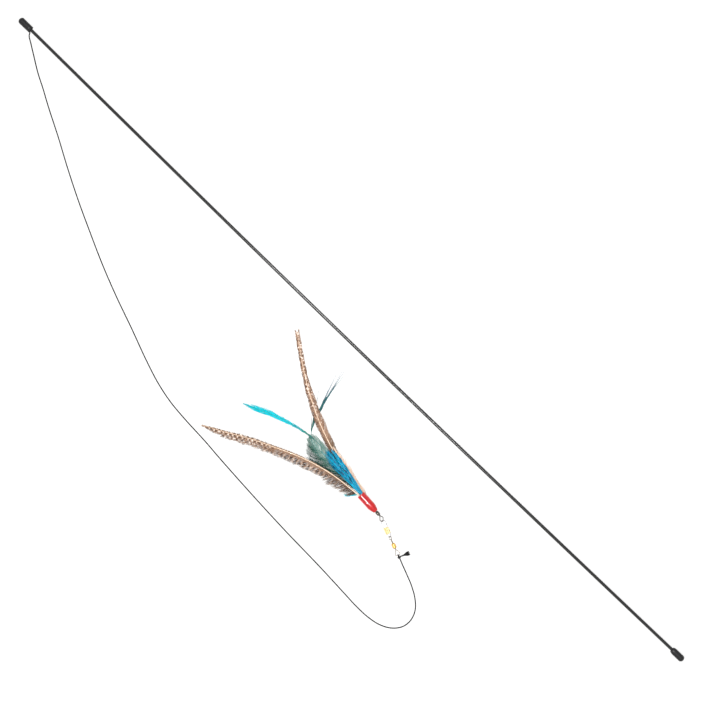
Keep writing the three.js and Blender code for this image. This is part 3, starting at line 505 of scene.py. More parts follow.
line_path = smooth_path([Vector((x, y + SHIFT_Y, z)) * MM for x, y, z in line_points], LINE_SPACING)
braid_sizes = {
    "radius": LINE_RADIUS,
    "strand_height": 0.09 * MM,
    "braid_pitch": BRAID_PITCH,
    "step": 0.28 * MM,
    "material": nylon,
}
line = run_tree(thread("braided_line", line_path), braid, "line", ["line"], "line", **braid_sizes)

# Start of the line: it comes up between the tip cap and the rod and bends over the rim.
GROOVE_Y = 2.22
GROOVE_Z = 3.37
START_SPACING = 0.5 * MM
start_points = [
    (452, GROOVE_Y, GROOVE_Z),
    (447.3, GROOVE_Y, GROOVE_Z),
    (444.5, GROOVE_Y, GROOVE_Z),
    (443.15, GROOVE_Y + 0.72, 3.2),
    (442.1, GROOVE_Y + 2.75, 2.9),
]
start_path = smooth_path([Vector((x, y + SHIFT_Y, z)) * MM for x, y, z in start_points], START_SPACING)
run_tree(thread("line_start", start_path), braid, "wand", ["line_tail"], "line", **braid_sizes)

# The knot that stops the line in the tip cap keeps its plain form, because nobody sees it.
bpy.data.objects["stopper_knot"].material_slots[0].material = nylon

# Swivel on the line: a brass barrel, turned hollow, that holds the heads of two wire eyes. Each eye is one
# wire bent to a loop and twisted round itself where it goes into the barrel.
SWIVEL_PLACE = (-173.5 * MM, 36.81 * MM, 2.1 * MM)
SWIVEL_YAW = math.radians(-21.4)
swivel_frame = Matrix.Translation(SWIVEL_PLACE) @ Matrix.Rotation(SWIVEL_YAW, 4, "Z")
SMALL_SIDES = 32


def metal(name, colour, worn, smooth, rough, scratch_scale=3000.0):
    """A bare or plated metal: its colour, the darker colour in its hollows, and a roughness that
    wanders between smooth and rough as handling has left it"""
    material, tree, shader = new_material(name, Metallic=1.0)
    place = add_node(tree, "ShaderNodeTexCoord").outputs["Object"]
    wear = add_node(tree, "ShaderNodeTexNoise", {"Vector": place, "Scale": scratch_scale, "Detail": 5.0})
    stops = ((0.25, worn), (0.6, colour))
    finish(tree, shader, wear, stops, strength=0.12, depth=0.03 * MM, gloss=(smooth, rough))
    return material


# Turned brass: warm gold, bright where it is burnished. Drawn wire: nickel grey with a yellow cast.
brass = metal("burnished brass", "#E6BC6A", "#8E5F18", smooth=0.1, rough=0.24)
eye_wire = metal("nickel-plated wire, twisted", "#A0968C", "#565048", smooth=0.18, rough=0.4)


def swept(points, radii, sides=12, flat=1.0):
    """A closed round rod through the points, one radius or one for each point"""
    count = len(points)
    if not hasattr(radii, "__len__"):
        radii = [radii] * count
    verts, faces = [], []
    along = (points[1] - points[0]).normalized()
    across = along.orthogonal().normalized()
    for i, point in enumerate(points):
        ahead = (points[min(i + 1, count - 1)] - points[max(i - 1, 0)]).normalized()
        across = (along.rotation_difference(ahead) @ across).normalized()
        along = ahead
        other = along.cross(across)
        for j in range(sides):
            turn = 2 * math.pi * j / sides
            verts.append(point + radii[i] * (across * math.cos(turn) + other * math.sin(turn) * flat))
    for i in range(count - 1):
        for j in range(sides):
            k = (j + 1) % sides
            faces.append([i * sides + j, i * sides + k, (i + 1) * sides + k, (i + 1) * sides + j])
    faces.append([sides - 1 - j for j in range(sides)])
    faces.append([(count - 1) * sides + j for j in range(sides)])
    return verts, faces


def both(*parts):
    """Several lots of points and faces as one"""
    verts, faces = [], []
    for part_verts, part_faces in parts:
        faces += [[len(verts) + v for v in face] for face in part_faces]
        verts += part_verts
    return verts, faces


def millimetres(points):
    """Points in millimetres as vectors in metres"""
    return [Vector(p) * MM for p in points]


def barrel_shape(length, radius, wall, hole):
    """A swivel's barrel, hollow, with a waist groove rolled near each shoulder"""
    half = length / 2
    corners = [
        (-half + wall, hole),
        (-half, hole + 0.05 * MM),
        (-half, radius * 0.56),
        (-half * 0.78, radius * 0.86),
        (-half * 0.5, radius * 0.97),
        (-half * 0.42, radius * 0.9),
        (-half * 0.34, radius * 0.98),
        (0, radius),
        (half * 0.34, radius * 0.98),
        (half * 0.42, radius * 0.9),
        (half * 0.5, radius * 0.97),
        (half * 0.78, radius * 0.86),
        (half, radius * 0.56),
        (half, hole + 0.05 * MM),
        (half - wall, hole),
        (half - wall * 1.9, radius - wall),
        (-half + wall * 1.9, radius - wall),
        (-half + wall, hole),
    ]
    return rounded(corners, reach=0.2 * MM, steps=3)[:-1]


barrel = mesh_piece(
    "brass_barrel",
    *turned(barrel_shape(5.6 * MM, radius=2.05 * MM, wall=0.5 * MM, hole=0.85 * MM), SMALL_SIDES),
    swivel_frame,
    brass,
    "swivel_barrel",
    ["swivel_barrel"],
    "brass",
)


def twisted_pair(start, end, turns, radius, offset):
    """Two wires wound round each other along X"""
    parts = []
    for half_turn in (0, math.pi):
        points = []
        for i in range(int(turns * 14) + 1):
            share = i / int(turns * 14)
            turn = 2 * math.pi * turns * share + half_turn
            x = start + (end - start) * share
            points.append(Vector((x, offset * math.cos(turn), offset * math.sin(turn))))
        parts.append(swept(points, radius, 10))
    return both(*parts)


def loop_points(half):
    """The points of half a wire loop, and then their mirror image back to the neck"""
    return half + [(x, -y, z) for x, y, z in reversed(half[:-1])]


HEAD_SIDES = 24


def wire_head(place, scale=1.0):
    """The head of a wire eye inside its barrel, which starts at this place on the axis"""
    corners = [(0, 0), (0, 1.1), (0.15, 1.3), (0.65, 1.3), (0.8, 1.1), (0.8, 0)]
    return turned([(x * MM + place, r * MM * scale) for x, r in corners], HEAD_SIDES)


WIRE_SIDES = 14
EYE_WIRE = 0.33 * MM
STEM_WIRE = 0.31 * MM
LOOP_SPACING = 0.3 * MM
line_loop = loop_points(
    [(-3.8, 0.36, 0), (-4.7, 0.39, 0), (-6.5, 1.52, 0), (-9.2, 2.45, 0), (-10.3, 1.52, 0), (-10.6, 0, 0)]
)
line_eye = mesh_piece(
    "line_side_eye",
    *both(
        wire_head(-1.7 * MM),
        twisted_pair(-4.25 * MM, -1.0 * MM, turns=1.75, radius=STEM_WIRE, offset=0.31 * MM),
        swept(smooth_path(millimetres(line_loop), LOOP_SPACING), EYE_WIRE, WIRE_SIDES),
    ),
    swivel_frame,
    eye_wire,
    "line_eye",
    ["swivel_line_eye"],
    "swivel_wire",
)

RING_CENTRE = 8.6 * MM
RING_RADIUS = 1.75 * MM
RING_STEPS = 47
ring_tilt = Matrix.Rotation(math.radians(50), 3, "X")
ring = []
for i in range(RING_STEPS):
    turn = math.pi + 2 * math.pi * (i + 0.5) / RING_STEPS
    ring.append(
        Vector((RING_CENTRE, 0, 0))
        + ring_tilt @ (RING_RADIUS * Vector((math.cos(turn), math.sin(turn), 0)))
    )
snap_eye = mesh_piece(
    "snap_side_eye",
    *both(
        wire_head(0.9 * MM),
        twisted_pair(1.0 * MM, 6.95 * MM, turns=3.25, radius=STEM_WIRE, offset=0.31 * MM),
        swept(ring, EYE_WIRE, WIRE_SIDES),
    ),
    swivel_frame,
    eye_wire,
    "snap_eye",
    ["swivel_snap_eye"],
    "swivel_wire",
)

# Knot: the line goes through the eye, winds four times round itself and is drawn tight. It is of the
# same braid, squeezed a little thinner.
KNOT_EYE = -10.6
KNOT_LOOP = 1.05
KNOT_TURNS = 4
KNOT_START = -11.75
KNOT_LENGTH = 1.65
KNOT_WAIST = 0.95
KNOT_SWELL = 0.3
TURN_STEPS = 8
KNOT_SPACING = 0.12 * MM
knot_points = [(-14.1, 0, 0), (-13.2, 0.05, 0.1), (-12.2, 0, 0.3)]
for degrees in range(150, -151, -30):
    turn = math.radians(degrees)
    knot_points.append((KNOT_EYE + KNOT_LOOP * math.cos(turn), 0, KNOT_LOOP * math.sin(turn)))
for i in range(KNOT_TURNS * TURN_STEPS + 1):
    share = i / (KNOT_TURNS * TURN_STEPS)
    turn = 2 * math.pi * KNOT_TURNS * share - math.pi / 2
    swell = KNOT_WAIST + KNOT_SWELL * math.sin(math.pi * share)
    knot_points.append((KNOT_START - KNOT_LENGTH * share, swell * math.cos(turn), swell * math.sin(turn)))
knot_points += [(-13.0, -0.9, 0.75), (-12.6, -1.5, 0.45), (-12.45, -1.95, 0.1)]
knot_path = [swivel_frame @ p for p in smooth_path(millimetres(knot_points), KNOT_SPACING)]
knot_sizes = dict(braid_sizes, radius=0.48 * MM, step=0.14 * MM, strand_height=0.07 * MM)
knot = run_tree(thread("line_knot_wraps", knot_path), braid, "line", ["line_knot"], "line", **knot_sizes)

# Tag end: the cut end of the line past the knot, which has come unbraided into a flat brush of
# filaments.
strands, inputs = new_tree(
    "strands",
    Step="Float",
    Points="Int",
    Width="Float",
    Thickness="Float",
    Lean="Float",
    Lean_Spread="Float",
    Curl="Float",
    Droop="Float",
    Lift="Float",
    Ragged="Float",
    Clump="Float",
    Pull="Float",
    Wave="Float",
    Wave_Scale="Float",
    Seed="Int",
    Material="Material",
)
# Roots along the stem, each with its place and its number in the row
stem = add_node(strands, "GeometryNodeMeshToCurve", [inputs["Geometry"]])
stem = add_node(strands, "GeometryNodeResampleCurve", {0: stem, "Length": inputs["Step"]}, mode="LENGTH")
root = {"Geometry": stem, "Name": "root", "Value": add_node(strands, "GeometryNodeInputPosition")}
stem = add_node(strands, store, root, data_type="FLOAT_VECTOR")
row = add_node(strands, "GeometryNodeInputIndex")
stem = add_node(strands, store, {"Geometry": stem, "Name": "row", "Value": row})

# One strand to each side of every root, as a line that knows how far along itself each point is
one = add_node(strands, "GeometryNodeCurvePrimitiveLine", {"End": (MM, 0, 0)})
one = add_node(strands, "GeometryNodeResampleCurve", {0: one, "Count": inputs["Points"]}, mode="COUNT")
share = add_node(strands, "GeometryNodeSplineParameter")
one = add_node(strands, store, {"Geometry": one, "Name": "share", "Value": share})
pair = add_node(strands, "GeometryNodeJoinGeometry")
for side in (1.0, -1.0):
    half = add_node(strands, store, {"Geometry": one, "Name": "side", "Value": side})
    strands.links.new(half.outputs[0], pair.inputs[0])
copies = add_node(strands, "GeometryNodeInstanceOnPoints", {"Points": stem, "Instance": pair})
copies = add_node(strands, "GeometryNodeRealizeInstances", {"Geometry": copies})

# The numbers that are stored by now, on the thread or above
side, share, row, left, right, distance, root, tangent = [
    add_node(strands, "GeometryNodeInputNamedAttribute", {"Name": name}, data_type=kind)
    for name, kind in (
        *[(name, "FLOAT") for name in ("side", "share", "row", "left", "right", "distance")],
        *[(name, "FLOAT_VECTOR") for name in ("root", "tangent")],
    )
]

# Chance, the same for all the points of a strand, and a second lot shared by a clump of strands
CLUMP_SPREAD = 0.9
CLUMP_TAGS = 9001.0
is_left = add_node(strands, "ShaderNodeMath", [side, 0.0], operation="GREATER_THAN")
strand_tag = add_node(strands, "ShaderNodeMath", [row, 2.0], operation="MULTIPLY")
strand_tag = add_node(strands, "ShaderNodeMath", [strand_tag, is_left], operation="ADD")
chance = {"ID": strand_tag, "Seed": inputs["Seed"], 0: (-1, -1, -1), 1: (1, 1, 1)}
own = add_node(strands, "FunctionNodeRandomValue", chance, data_type="FLOAT_VECTOR")
own = add_node(strands, "ShaderNodeSeparateXYZ", [own]).outputs
clump = add_node(strands, "ShaderNodeMath", [own[0], CLUMP_SPREAD], operation="MULTIPLY")
clump = add_node(strands, "ShaderNodeMath", [row, clump], operation="ADD")
clump = add_node(strands, "ShaderNodeMath", [clump, inputs["Clump"]], operation="DIVIDE")
clump = add_node(strands, "ShaderNodeMath", [clump], operation="FLOOR")
side_tag = add_node(strands, "ShaderNodeMath", [is_left, CLUMP_TAGS], operation="ADD")
clump_tag = add_node(strands, "ShaderNodeMath", [clump, 2.0], operation="MULTIPLY")
clump_tag = add_node(strands, "ShaderNodeMath", [clump_tag, side_tag], operation="ADD")
chance = {"ID": clump_tag, "Seed": inputs["Seed"], 0: (-1, -1, -1), 1: (1, 1, 1)}
shared = add_node(strands, "FunctionNodeRandomValue", chance, data_type="FLOAT_VECTOR")
shared = add_node(strands, "ShaderNodeSeparateXYZ", [shared]).outputs

# How far the strand's own side reaches, a little more or less than its neighbours
CLUMP_RAGGED = 0.8
left = add_node(strands, "ShaderNodeMath", [left, is_left], operation="MULTIPLY")
is_right = add_node(strands, "ShaderNodeMath", [1.0, is_left], operation="SUBTRACT")
right = add_node(strands, "ShaderNodeMath", [right, is_right], operation="MULTIPLY")
reach = add_node(strands, "ShaderNodeMath", [left, right], operation="ADD")
ragged = add_node(strands, "ShaderNodeMath", [shared[1], CLUMP_RAGGED], operation="MULTIPLY")
ragged = add_node(strands, "ShaderNodeMath", [own[1], ragged], operation="ADD")
ragged = add_node(strands, "ShaderNodeMath", [ragged, inputs["Ragged"]], operation="MULTIPLY")
ragged = add_node(strands, "ShaderNodeMath", [1.0, ragged], operation="ADD")
reach = add_node(strands, "ShaderNodeMath", [reach, ragged], operation="MULTIPLY")

# How far a point lies aside and ahead of its root, on a curve
to_tip = add_node(strands, "ShaderNodeMath", [1.0, share], operation="SUBTRACT")
curl = add_node(strands, "ShaderNodeMath", [1.0, inputs["Curl"]], operation="ADD")
aside = add_node(strands, "ShaderNodeMath", [to_tip, curl], operation="POWER")
aside = add_node(strands, "ShaderNodeMath", [1.0, aside], operation="SUBTRACT")
aside = add_node(strands, "ShaderNodeMath", [reach, aside], operation="MULTIPLY")
lean = add_node(strands, "ShaderNodeMath", [own[2], inputs["Lean Spread"]], operation="MULTIPLY")
lean = add_node(strands, "ShaderNodeMath", [inputs["Lean"], lean], operation="ADD")
slope = add_node(strands, "ShaderNodeMath", [lean], operation="TANGENT")
ahead = add_node(strands, "ShaderNodeMath", [reach, share], operation="MULTIPLY")
ahead = add_node(strands, "ShaderNodeMath", [ahead, slope], operation="DIVIDE")

# The tip is drawn towards the middle of its clump, and is lifted or droops
PULL_MEAN = 0.6
PULL_SPREAD = 0.4
pull = add_node(strands, "ShaderNodeMath", [shared[0], PULL_SPREAD], operation="MULTIPLY")
pull = add_node(strands, "ShaderNodeMath", [PULL_MEAN, pull], operation="ADD")
pull = add_node(strands, "ShaderNodeMath", [pull, inputs["Pull"]], operation="MULTIPLY")
drawn = add_node(strands, "ShaderNodeMath", [clump, 0.5], operation="ADD")
drawn = add_node(strands, "ShaderNodeMath", [drawn, inputs["Clump"]], operation="MULTIPLY")
drawn = add_node(strands, "ShaderNodeMath", [drawn, row], operation="SUBTRACT")
drawn = add_node(strands, "ShaderNodeMath", [drawn, inputs["Step"]], operation="MULTIPLY")
drawn = add_node(strands, "ShaderNodeMath", [drawn, pull], operation="MULTIPLY")
squared = add_node(strands, "ShaderNodeMath", [share, share], operation="MULTIPLY")
drawn = add_node(strands, "ShaderNodeMath", [drawn, squared], operation="MULTIPLY")
ahead = add_node(strands, "ShaderNodeMath", [ahead, drawn], operation="ADD")
lift = add_node(strands, "ShaderNodeMath", [shared[2], inputs["Lift"]], operation="MULTIPLY")
lift = add_node(strands, "ShaderNodeMath", [lift, share], operation="MULTIPLY")
droop = add_node(strands, "ShaderNodeMath", [inputs["Droop"], squared], operation="MULTIPLY")
up = add_node(strands, "ShaderNodeMath", [lift, droop], operation="SUBTRACT")
across = add_node(strands, "ShaderNodeMath", [aside, side], operation="MULTIPLY")

# The place of each point, with a slow wave that grows towards the tip
WAVE_APART = 7.31
upward = (0, 0, 1)
forward = add_node(strands, "ShaderNodeVectorMath", [tangent], operation="NORMALIZE")
sideways = add_node(strands, "ShaderNodeVectorMath", [upward, forward], operation="CROSS_PRODUCT")
sideways = add_node(strands, "ShaderNodeVectorMath", [sideways], operation="NORMALIZE")
tag = add_node(strands, "ShaderNodeMath", [strand_tag, WAVE_APART], operation="MULTIPLY")
beat = add_node(strands, "ShaderNodeMath", [share, inputs["Wave Scale"]], operation="MULTIPLY")
seat = add_node(strands, "ShaderNodeCombineXYZ", [tag, beat, clump])
sway = add_node(strands, "ShaderNodeTexNoise", {"Vector": seat, "Scale": 1.0, "Detail": 1.0})
sway = [sway.outputs["Color"], (0.5, 0.5, 0.5)]
sway = add_node(strands, "ShaderNodeVectorMath", sway, operation="SUBTRACT")
wave = add_node(strands, "ShaderNodeMath", [inputs["Wave"], share], operation="MULTIPLY")
spot = root
for direction, length in ((forward, ahead), (sideways, across), (upward, up), (sway, wave)):
    move = add_node(strands, "ShaderNodeVectorMath", {0: direction, "Scale": length}, operation="SCALE")
    spot = add_node(strands, "ShaderNodeVectorMath", [spot, move], operation="ADD")
hairs = add_node(strands, "GeometryNodeSetPosition", {"Geometry": copies, "Position": spot})

# Numbers that a material can read: how far along the stem the point lies and how bright its strand is
lies_at = add_node(strands, "ShaderNodeMath", [distance, ahead], operation="ADD")
own_tone = add_node(strands, "ShaderNodeMath", [own[0], 0.5], operation="MULTIPLY")
tone = add_node(strands, "ShaderNodeMath", [shared[1], 0.5], operation="MULTIPLY")
tone = add_node(strands, "ShaderNodeMath", [own_tone, tone], operation="ADD")
for name, value in (("lies_at", lies_at), ("lies_across", across), ("tone", tone)):
    hairs = add_node(strands, store, {"Geometry": hairs, "Name": name, "Value": value})

# Each strand is a flat lens in section, which thins to its tip
THINNING = 0.8
hairs = add_node(strands, "GeometryNodeSetCurveNormal", [hairs], mode="Z_UP")
taper = add_node(strands, "ShaderNodeMath", [share, 3.0], operation="POWER")
taper = add_node(strands, "ShaderNodeMath", [taper, THINNING], operation="MULTIPLY")
taper = add_node(strands, "ShaderNodeMath", [1.0, taper], operation="SUBTRACT")
hairs = add_node(strands, "GeometryNodeSetCurveRadius", {"Curve": hairs, "Radius": taper})
lens = add_node(strands, "GeometryNodeCurvePrimitiveCircle", {"Resolution": 4, "Radius": 0.5})
section = add_node(strands, "ShaderNodeCombineXYZ", [inputs["Width"], inputs["Thickness"], 1.0])
lens = add_node(strands, "GeometryNodeTransform", {"Geometry": lens, "Scale": section})
scale = add_node(strands, "GeometryNodeInputRadius")
solid = {"Curve": hairs, "Profile Curve": lens, "Scale": scale, "Fill Caps": True}
hairs = add_node(strands, "GeometryNodeCurveToMesh", solid)
hairs = add_node(strands, "GeometryNodeSetShadeSmooth", {"Geometry": hairs})
hairs = add_node(strands, "GeometryNodeRealizeInstances", {"Geometry": hairs})
hairs = add_node(strands, "GeometryNodeSetMaterial", {"Geometry": hairs, "Material": inputs["Material"]})
add_node(strands, "NodeGroupOutput", [hairs])


def stem_thread(name, path, left, right, start=0.0):
    """A thread with the reach of its strands to each side, read off evenly spaced values, and the
    distance along it, which counts from the start"""

    def read(values, share):
        place = share * (len(values) - 1)
        before = min(int(place), len(values) - 2)
        blend = place - before
        blend = blend * blend * (3 - 2 * blend)
        return (values[before] * (1 - blend) + values[before + 1] * blend) * MM

    count = len(path)
    distance, tangent = [0.0], []
    for i in range(count):
        tangent.append((path[min(i + 1, count - 1)] - path[max(i - 1, 0)]).normalized())
        if i:
            distance.append(distance[-1] + (path[i] - path[i - 1]).length)
    shares = [d / distance[-1] for d in distance]
    numbers = {
        "left": [read(left, s) for s in shares],
        "right": [read(right, s) for s in shares],
        "distance": [start + d for d in distance],
        "tangent": tangent,
    }
    return thread(name, path, numbers)


TAG_PLACE = (-12.4 * MM, -1.8 * MM, 0)
TAG_TURN = math.radians(-93)
tag_frame = swivel_frame @ Matrix.Translation(TAG_PLACE) @ Matrix.Rotation(TAG_TURN, 4, "Z")
neck_points = [(0.2, 0, 0), (1.4, 0.05, 0.02), (2.8, 0, 0.03), (3.8, -0.06, 0)]
neck_path = [tag_frame @ p for p in smooth_path(millimetres(neck_points), spacing=0.2 * MM)]
neck_sizes = dict(knot_sizes, radius=0.7 * MM)
neck = run_tree(thread("tag_end_braid", neck_path), braid, "line", [], "line", **neck_sizes)
brush_points = [(1.6, 0, 0), (3, 0, 0), (4.4, 0, 0)]
brush_path = [tag_frame @ p for p in smooth_path(millimetres(brush_points), spacing=0.1 * MM)]
brush_sizes = {
    "step": 0.045 * MM,
    "points": 8,
    "width": 0.5 * MM,
    "thickness": 0.25 * MM,
    "lean_spread": 0.02,
    "curl": -0.2,
    "droop": 0.0,
    "lift": 1.2 * MM,
    "ragged": 0.08,
    "clump": 5.0,
    "pull": 0.1,
    "wave": 0.3 * MM,
    "wave_scale": 2.5,
    "material": nylon,
}
tag_pieces = [neck]
for reach, lean, seed, nodes in (
    (0.35, 4.5, 5, ["line_tag_end"]),
    (0.85, 10, 6, []),
    (1.4, 16, 7, []),
    (2.0, 22, 8, []),
):
    brush = stem_thread(f"tag_end_filaments_{seed}", brush_path, [reach, reach], [reach, reach])
    own_sizes = dict(brush_sizes, lean=math.radians(lean), seed=seed)
    tag_pieces.append(run_tree(brush, strands, "line", nodes, "line", **own_sizes))

# Snap: a safety snap bent from one springy wire. Its end is bent round the swivel's ring, its bow holds
# the lure, and its free leg hooks into a folded brass clasp.
SNAP_PLACE = (9.39 * MM, 0, 0)
SNAP_ROLL = math.radians(-35)
snap_frame = swivel_frame @ Matrix.Translation(SNAP_PLACE) @ Matrix.Rotation(SNAP_ROLL, 4, "X")
SNAP_WIRE = 0.33 * MM
SNAP_SIDES = 16
BOW_CENTRE = 15.5
BOW_RADIUS = 3.0
WAIST = 2.3
CLASP_START = 3.7
CLASP_END = 10.6


def on_bow(degrees):
    """A point of the snap's round bow, at this angle from its far end"""
    turn = math.radians(degrees)
    return (BOW_CENTRE + BOW_RADIUS * math.cos(turn), BOW_RADIUS * math.sin(turn), 0)


# Spring wire, nickel plated: clean pale silver, with fine draw marks.
snap_wire = metal("nickel-plated spring wire", "#BDBABB", "#77747A", smooth=0.14, rough=0.3)
snap_points = [
    (CLASP_START + 1.8, -WAIST, 0),
    (CLASP_START - 0.2, -WAIST, 0),
    (1, -1.62, 0),
    (0, 0, 0),
    (1, 1.62, 0),
    (CLASP_START - 0.2, WAIST, 0),
    (CLASP_END, WAIST, 0),
    on_bow(90),
    on_bow(45),
    on_bow(0),
    on_bow(-45),
    on_bow(-86),
]
snap_frame_piece = mesh_piece(
    "snap_frame_wire",
    *swept(smooth_path(millimetres(snap_points), spacing=0.3 * MM), SNAP_WIRE, SNAP_SIDES),
    snap_frame,
    snap_wire,
    "snap",
    ["snap_wire"],
    "snap_wire",
)
latch_points = [
    (BOW_CENTRE - 0.1, -BOW_RADIUS, 0),
    (CLASP_END + 1.5, -(BOW_RADIUS + WAIST) / 2, 0),
    (CLASP_END - 1.6, -WAIST, 0),
    (CLASP_START + 3.6, -WAIST + 0.15, 0),
    (CLASP_START + 3, -WAIST + 0.9, 0),
]
latch = mesh_piece(
    "snap_latch_wire",
    *swept(smooth_path(millimetres(latch_points), spacing=0.25 * MM), SNAP_WIRE, SNAP_SIDES),
    snap_frame,
    snap_wire,
    "latch_arm",
    ["snap_latch_arm"],
    "snap_wire",
)

# Clasp: brass sheet 0.3 mm thick, folded round the fixed leg, pressed together along its middle and
# left open where the latch wire goes in. Lacquer keeps it a pale, clean yellow.
CLASP_SHEET = 0.3 * MM
CLASP_FOLD = 0.6
CLASP_ROWS = 16
CORNER_FROM = 1.9
CORNER_CUT = 0.9
CREST_FROM = 2.3
CREST_CUT = 0.15
one_side = [(-2.75, 0.62), (-2.45, 0.6), (-1.5, 0.58), (-0.8, 0.42), (-0.3, 0.17), (0.5, 0.17), (1.1, 0.42)]
fold = [math.radians(turn) for turn in range(100, -101, -20)]
clasp_section = [
    *one_side,
    *[(WAIST + CLASP_FOLD * math.cos(turn), CLASP_FOLD * math.sin(turn)) for turn in fold],
    *[(y, -z) for y, z in reversed(one_side)],
]
verts, faces = [], []
for i in range(CLASP_ROWS + 1):
    share = i / CLASP_ROWS * 2 - 1
    for y, z in clasp_section:
        corner = max(0, -y - CORNER_FROM)
        crest = max(0, y - CREST_FROM)
        half = (CLASP_END - CLASP_START) / 2 - CORNER_CUT * corner * corner - CREST_CUT * crest
        verts.append(Vector(((CLASP_START + CLASP_END) / 2 + share * half, y, z)) * MM)
across_count = len(clasp_section)
for i in range(CLASP_ROWS):
    for j in range(across_count - 1):
        a = i * across_count + j
        faces.append([a, a + 1, a + across_count + 1, a + across_count])
pale_brass = metal("pale lacquered brass sheet", "#EFDCA6", "#CDA855", smooth=0.1, rough=0.24)
clasp = mesh_piece("folded_clasp", verts, faces, snap_frame, pale_brass, "snap", ["snap_clasp"], "brass")
wall = clasp.modifiers.new("sheet", "SOLIDIFY")
wall.thickness = CLASP_SHEET
wall.offset = 0
edge = clasp.modifiers.new("edge", "BEVEL")
edge.width = 0.06 * MM
edge.segments = 2
edge.limit_method = "ANGLE"
edge.angle_limit = math.radians(50)

# Swivel of the lure: a black nickel barrel close to the nose of the head cap, and a ring bent to a
# rounded diamond that hangs on the snap.
LURE_PLACE = (-136.46 * MM, 24.45 * MM, 4.214 * MM)
LURE_YAW = math.radians(-3.8)
lure_frame = Matrix.Translation(LURE_PLACE) @ Matrix.Rotation(LURE_YAW, 4, "Z")
BARREL_PLACE = lure_frame @ Matrix.Translation((-2.75 * MM, 0, 0))

# Black nickel: a dark warm grey mirror, worn paler and browner on the wire.
black_nickel = metal("black nickel plate", "#5A544E", "#1E1B18", smooth=0.1, rough=0.22)
worn_nickel = metal("black nickel plate, worn", "#584F47", "#26211C", smooth=0.16, rough=0.36)
mesh_piece(
    "lure_barrel_shell",
    *turned(barrel_shape(4.9 * MM, radius=1.8 * MM, wall=0.4 * MM, hole=0.75 * MM), SMALL_SIDES),
    BARREL_PLACE,
    black_nickel,
    "lure_barrel",
    ["lure_swivel_barrel"],
    "black_nickel",
)
RING_ROOT = -5.8 * MM
RING_YAW = math.radians(-15)
RING_DROOP = 0.3615
RING_ROLL = math.radians(40)
RING_WIRE = 0.38 * MM
ring_turn = Matrix.Rotation(RING_YAW, 4, "Z") @ Matrix.Rotation(-RING_DROOP, 4, "Y")
ring_turn = ring_turn @ Matrix.Rotation(RING_ROLL, 4, "X")
half_diamond = [(0.3, 0.42), (-0.5, 0.45), (-2.66, 1.76), (-3.92, 2.6), (-5.32, 1.8), (-6.9, 0.61), (-7, 0)]
diamond = loop_points([(x, y, 0) for x, y in half_diamond])
diamond_path = [
    Vector((RING_ROOT, 0, 0)) + ring_turn @ p for p in smooth_path(millimetres(diamond), spacing=0.25 * MM)
]
mesh_piece(
    "lure_outer_ring",
    *both(
        wire_head(-4.0 * MM, scale=0.85),
        twisted_pair(-6.2 * MM, -3.4 * MM, turns=1.5, radius=0.28 * MM, offset=0.27 * MM),
        swept(diamond_path, RING_WIRE, WIRE_SIDES),
    ),
    lure_frame,
    worn_nickel,
    "lure_ring",
    ["lure_swivel_ring"],
    "black_nickel",
)
bpy.data.objects["lure_swivel_inner_eye"].material_slots[0].material = worn_nickel

# Head cap of the lure: red vinyl, dipped to a bullet shape, glued over the roots of the feathers.
HEAD_LENGTH = 22.45
HEAD_RADIUS = 4.2
HEAD_BORE = 3.35
HEAD_NOSE = 1.5
HEAD_HOLE = 0.75
HEAD_ROUNDING = 0.9

# Glossy dipped vinyl: a saturated red, a little cloudy, with one fine highlight that ripples.
red_vinyl, tree, shader = new_material(
    "red dipped vinyl, glossy", Roughness=0.4, Specular_IOR_Level=0.0, Coat_Weight=1.0, Coat_Roughness=0.03
)
place = add_node(tree, "ShaderNodeTexCoord").outputs["Object"]
cloud = add_node(tree, "ShaderNodeTexNoise", {"Vector": place, "Scale": 260.0, "Detail": 2.0})
ripple = add_node(tree, "ShaderNodeTexNoise", {"Vector": place, "Scale": 500.0, "Detail": 1.0})
finish(tree, shader, cloud, ((0, "#A80002"), (1, "#C20003")), strength=0.04, depth=0.2 * MM, relief=ripple)
cap_nose = [(HEAD_NOSE, 1.2), (HEAD_NOSE, HEAD_HOLE), (0, HEAD_HOLE), (0, 1.9), (0.35, 2.5)]
cap_outside = [(2.6, 3.25), (4.6, 3.9), *[(x, HEAD_RADIUS) for x in (6.6, 7.6, 14, 21, HEAD_LENGTH - 0.4)]]
cap_mouth = [(HEAD_LENGTH, HEAD_RADIUS - 0.3), (HEAD_LENGTH, HEAD_BORE + 0.2), (HEAD_LENGTH - 0.3, HEAD_BORE)]
cap_inside = [(7.1, HEAD_BORE), (3.7, 2.25), (HEAD_NOSE, 1.25), (HEAD_NOSE, 1.2)]
cap_profile = rounded(cap_nose + cap_outside + cap_mouth + cap_inside, HEAD_ROUNDING, steps=4)
mesh_piece(
    "red_head_cap",
    *turned([(x * MM, r * MM) for x, r in cap_profile[:-1]], CAP_SIDES),
    lure_frame,
    red_vinyl,
    "lure",
    ["head_cap"],
    "red_vinyl",
)

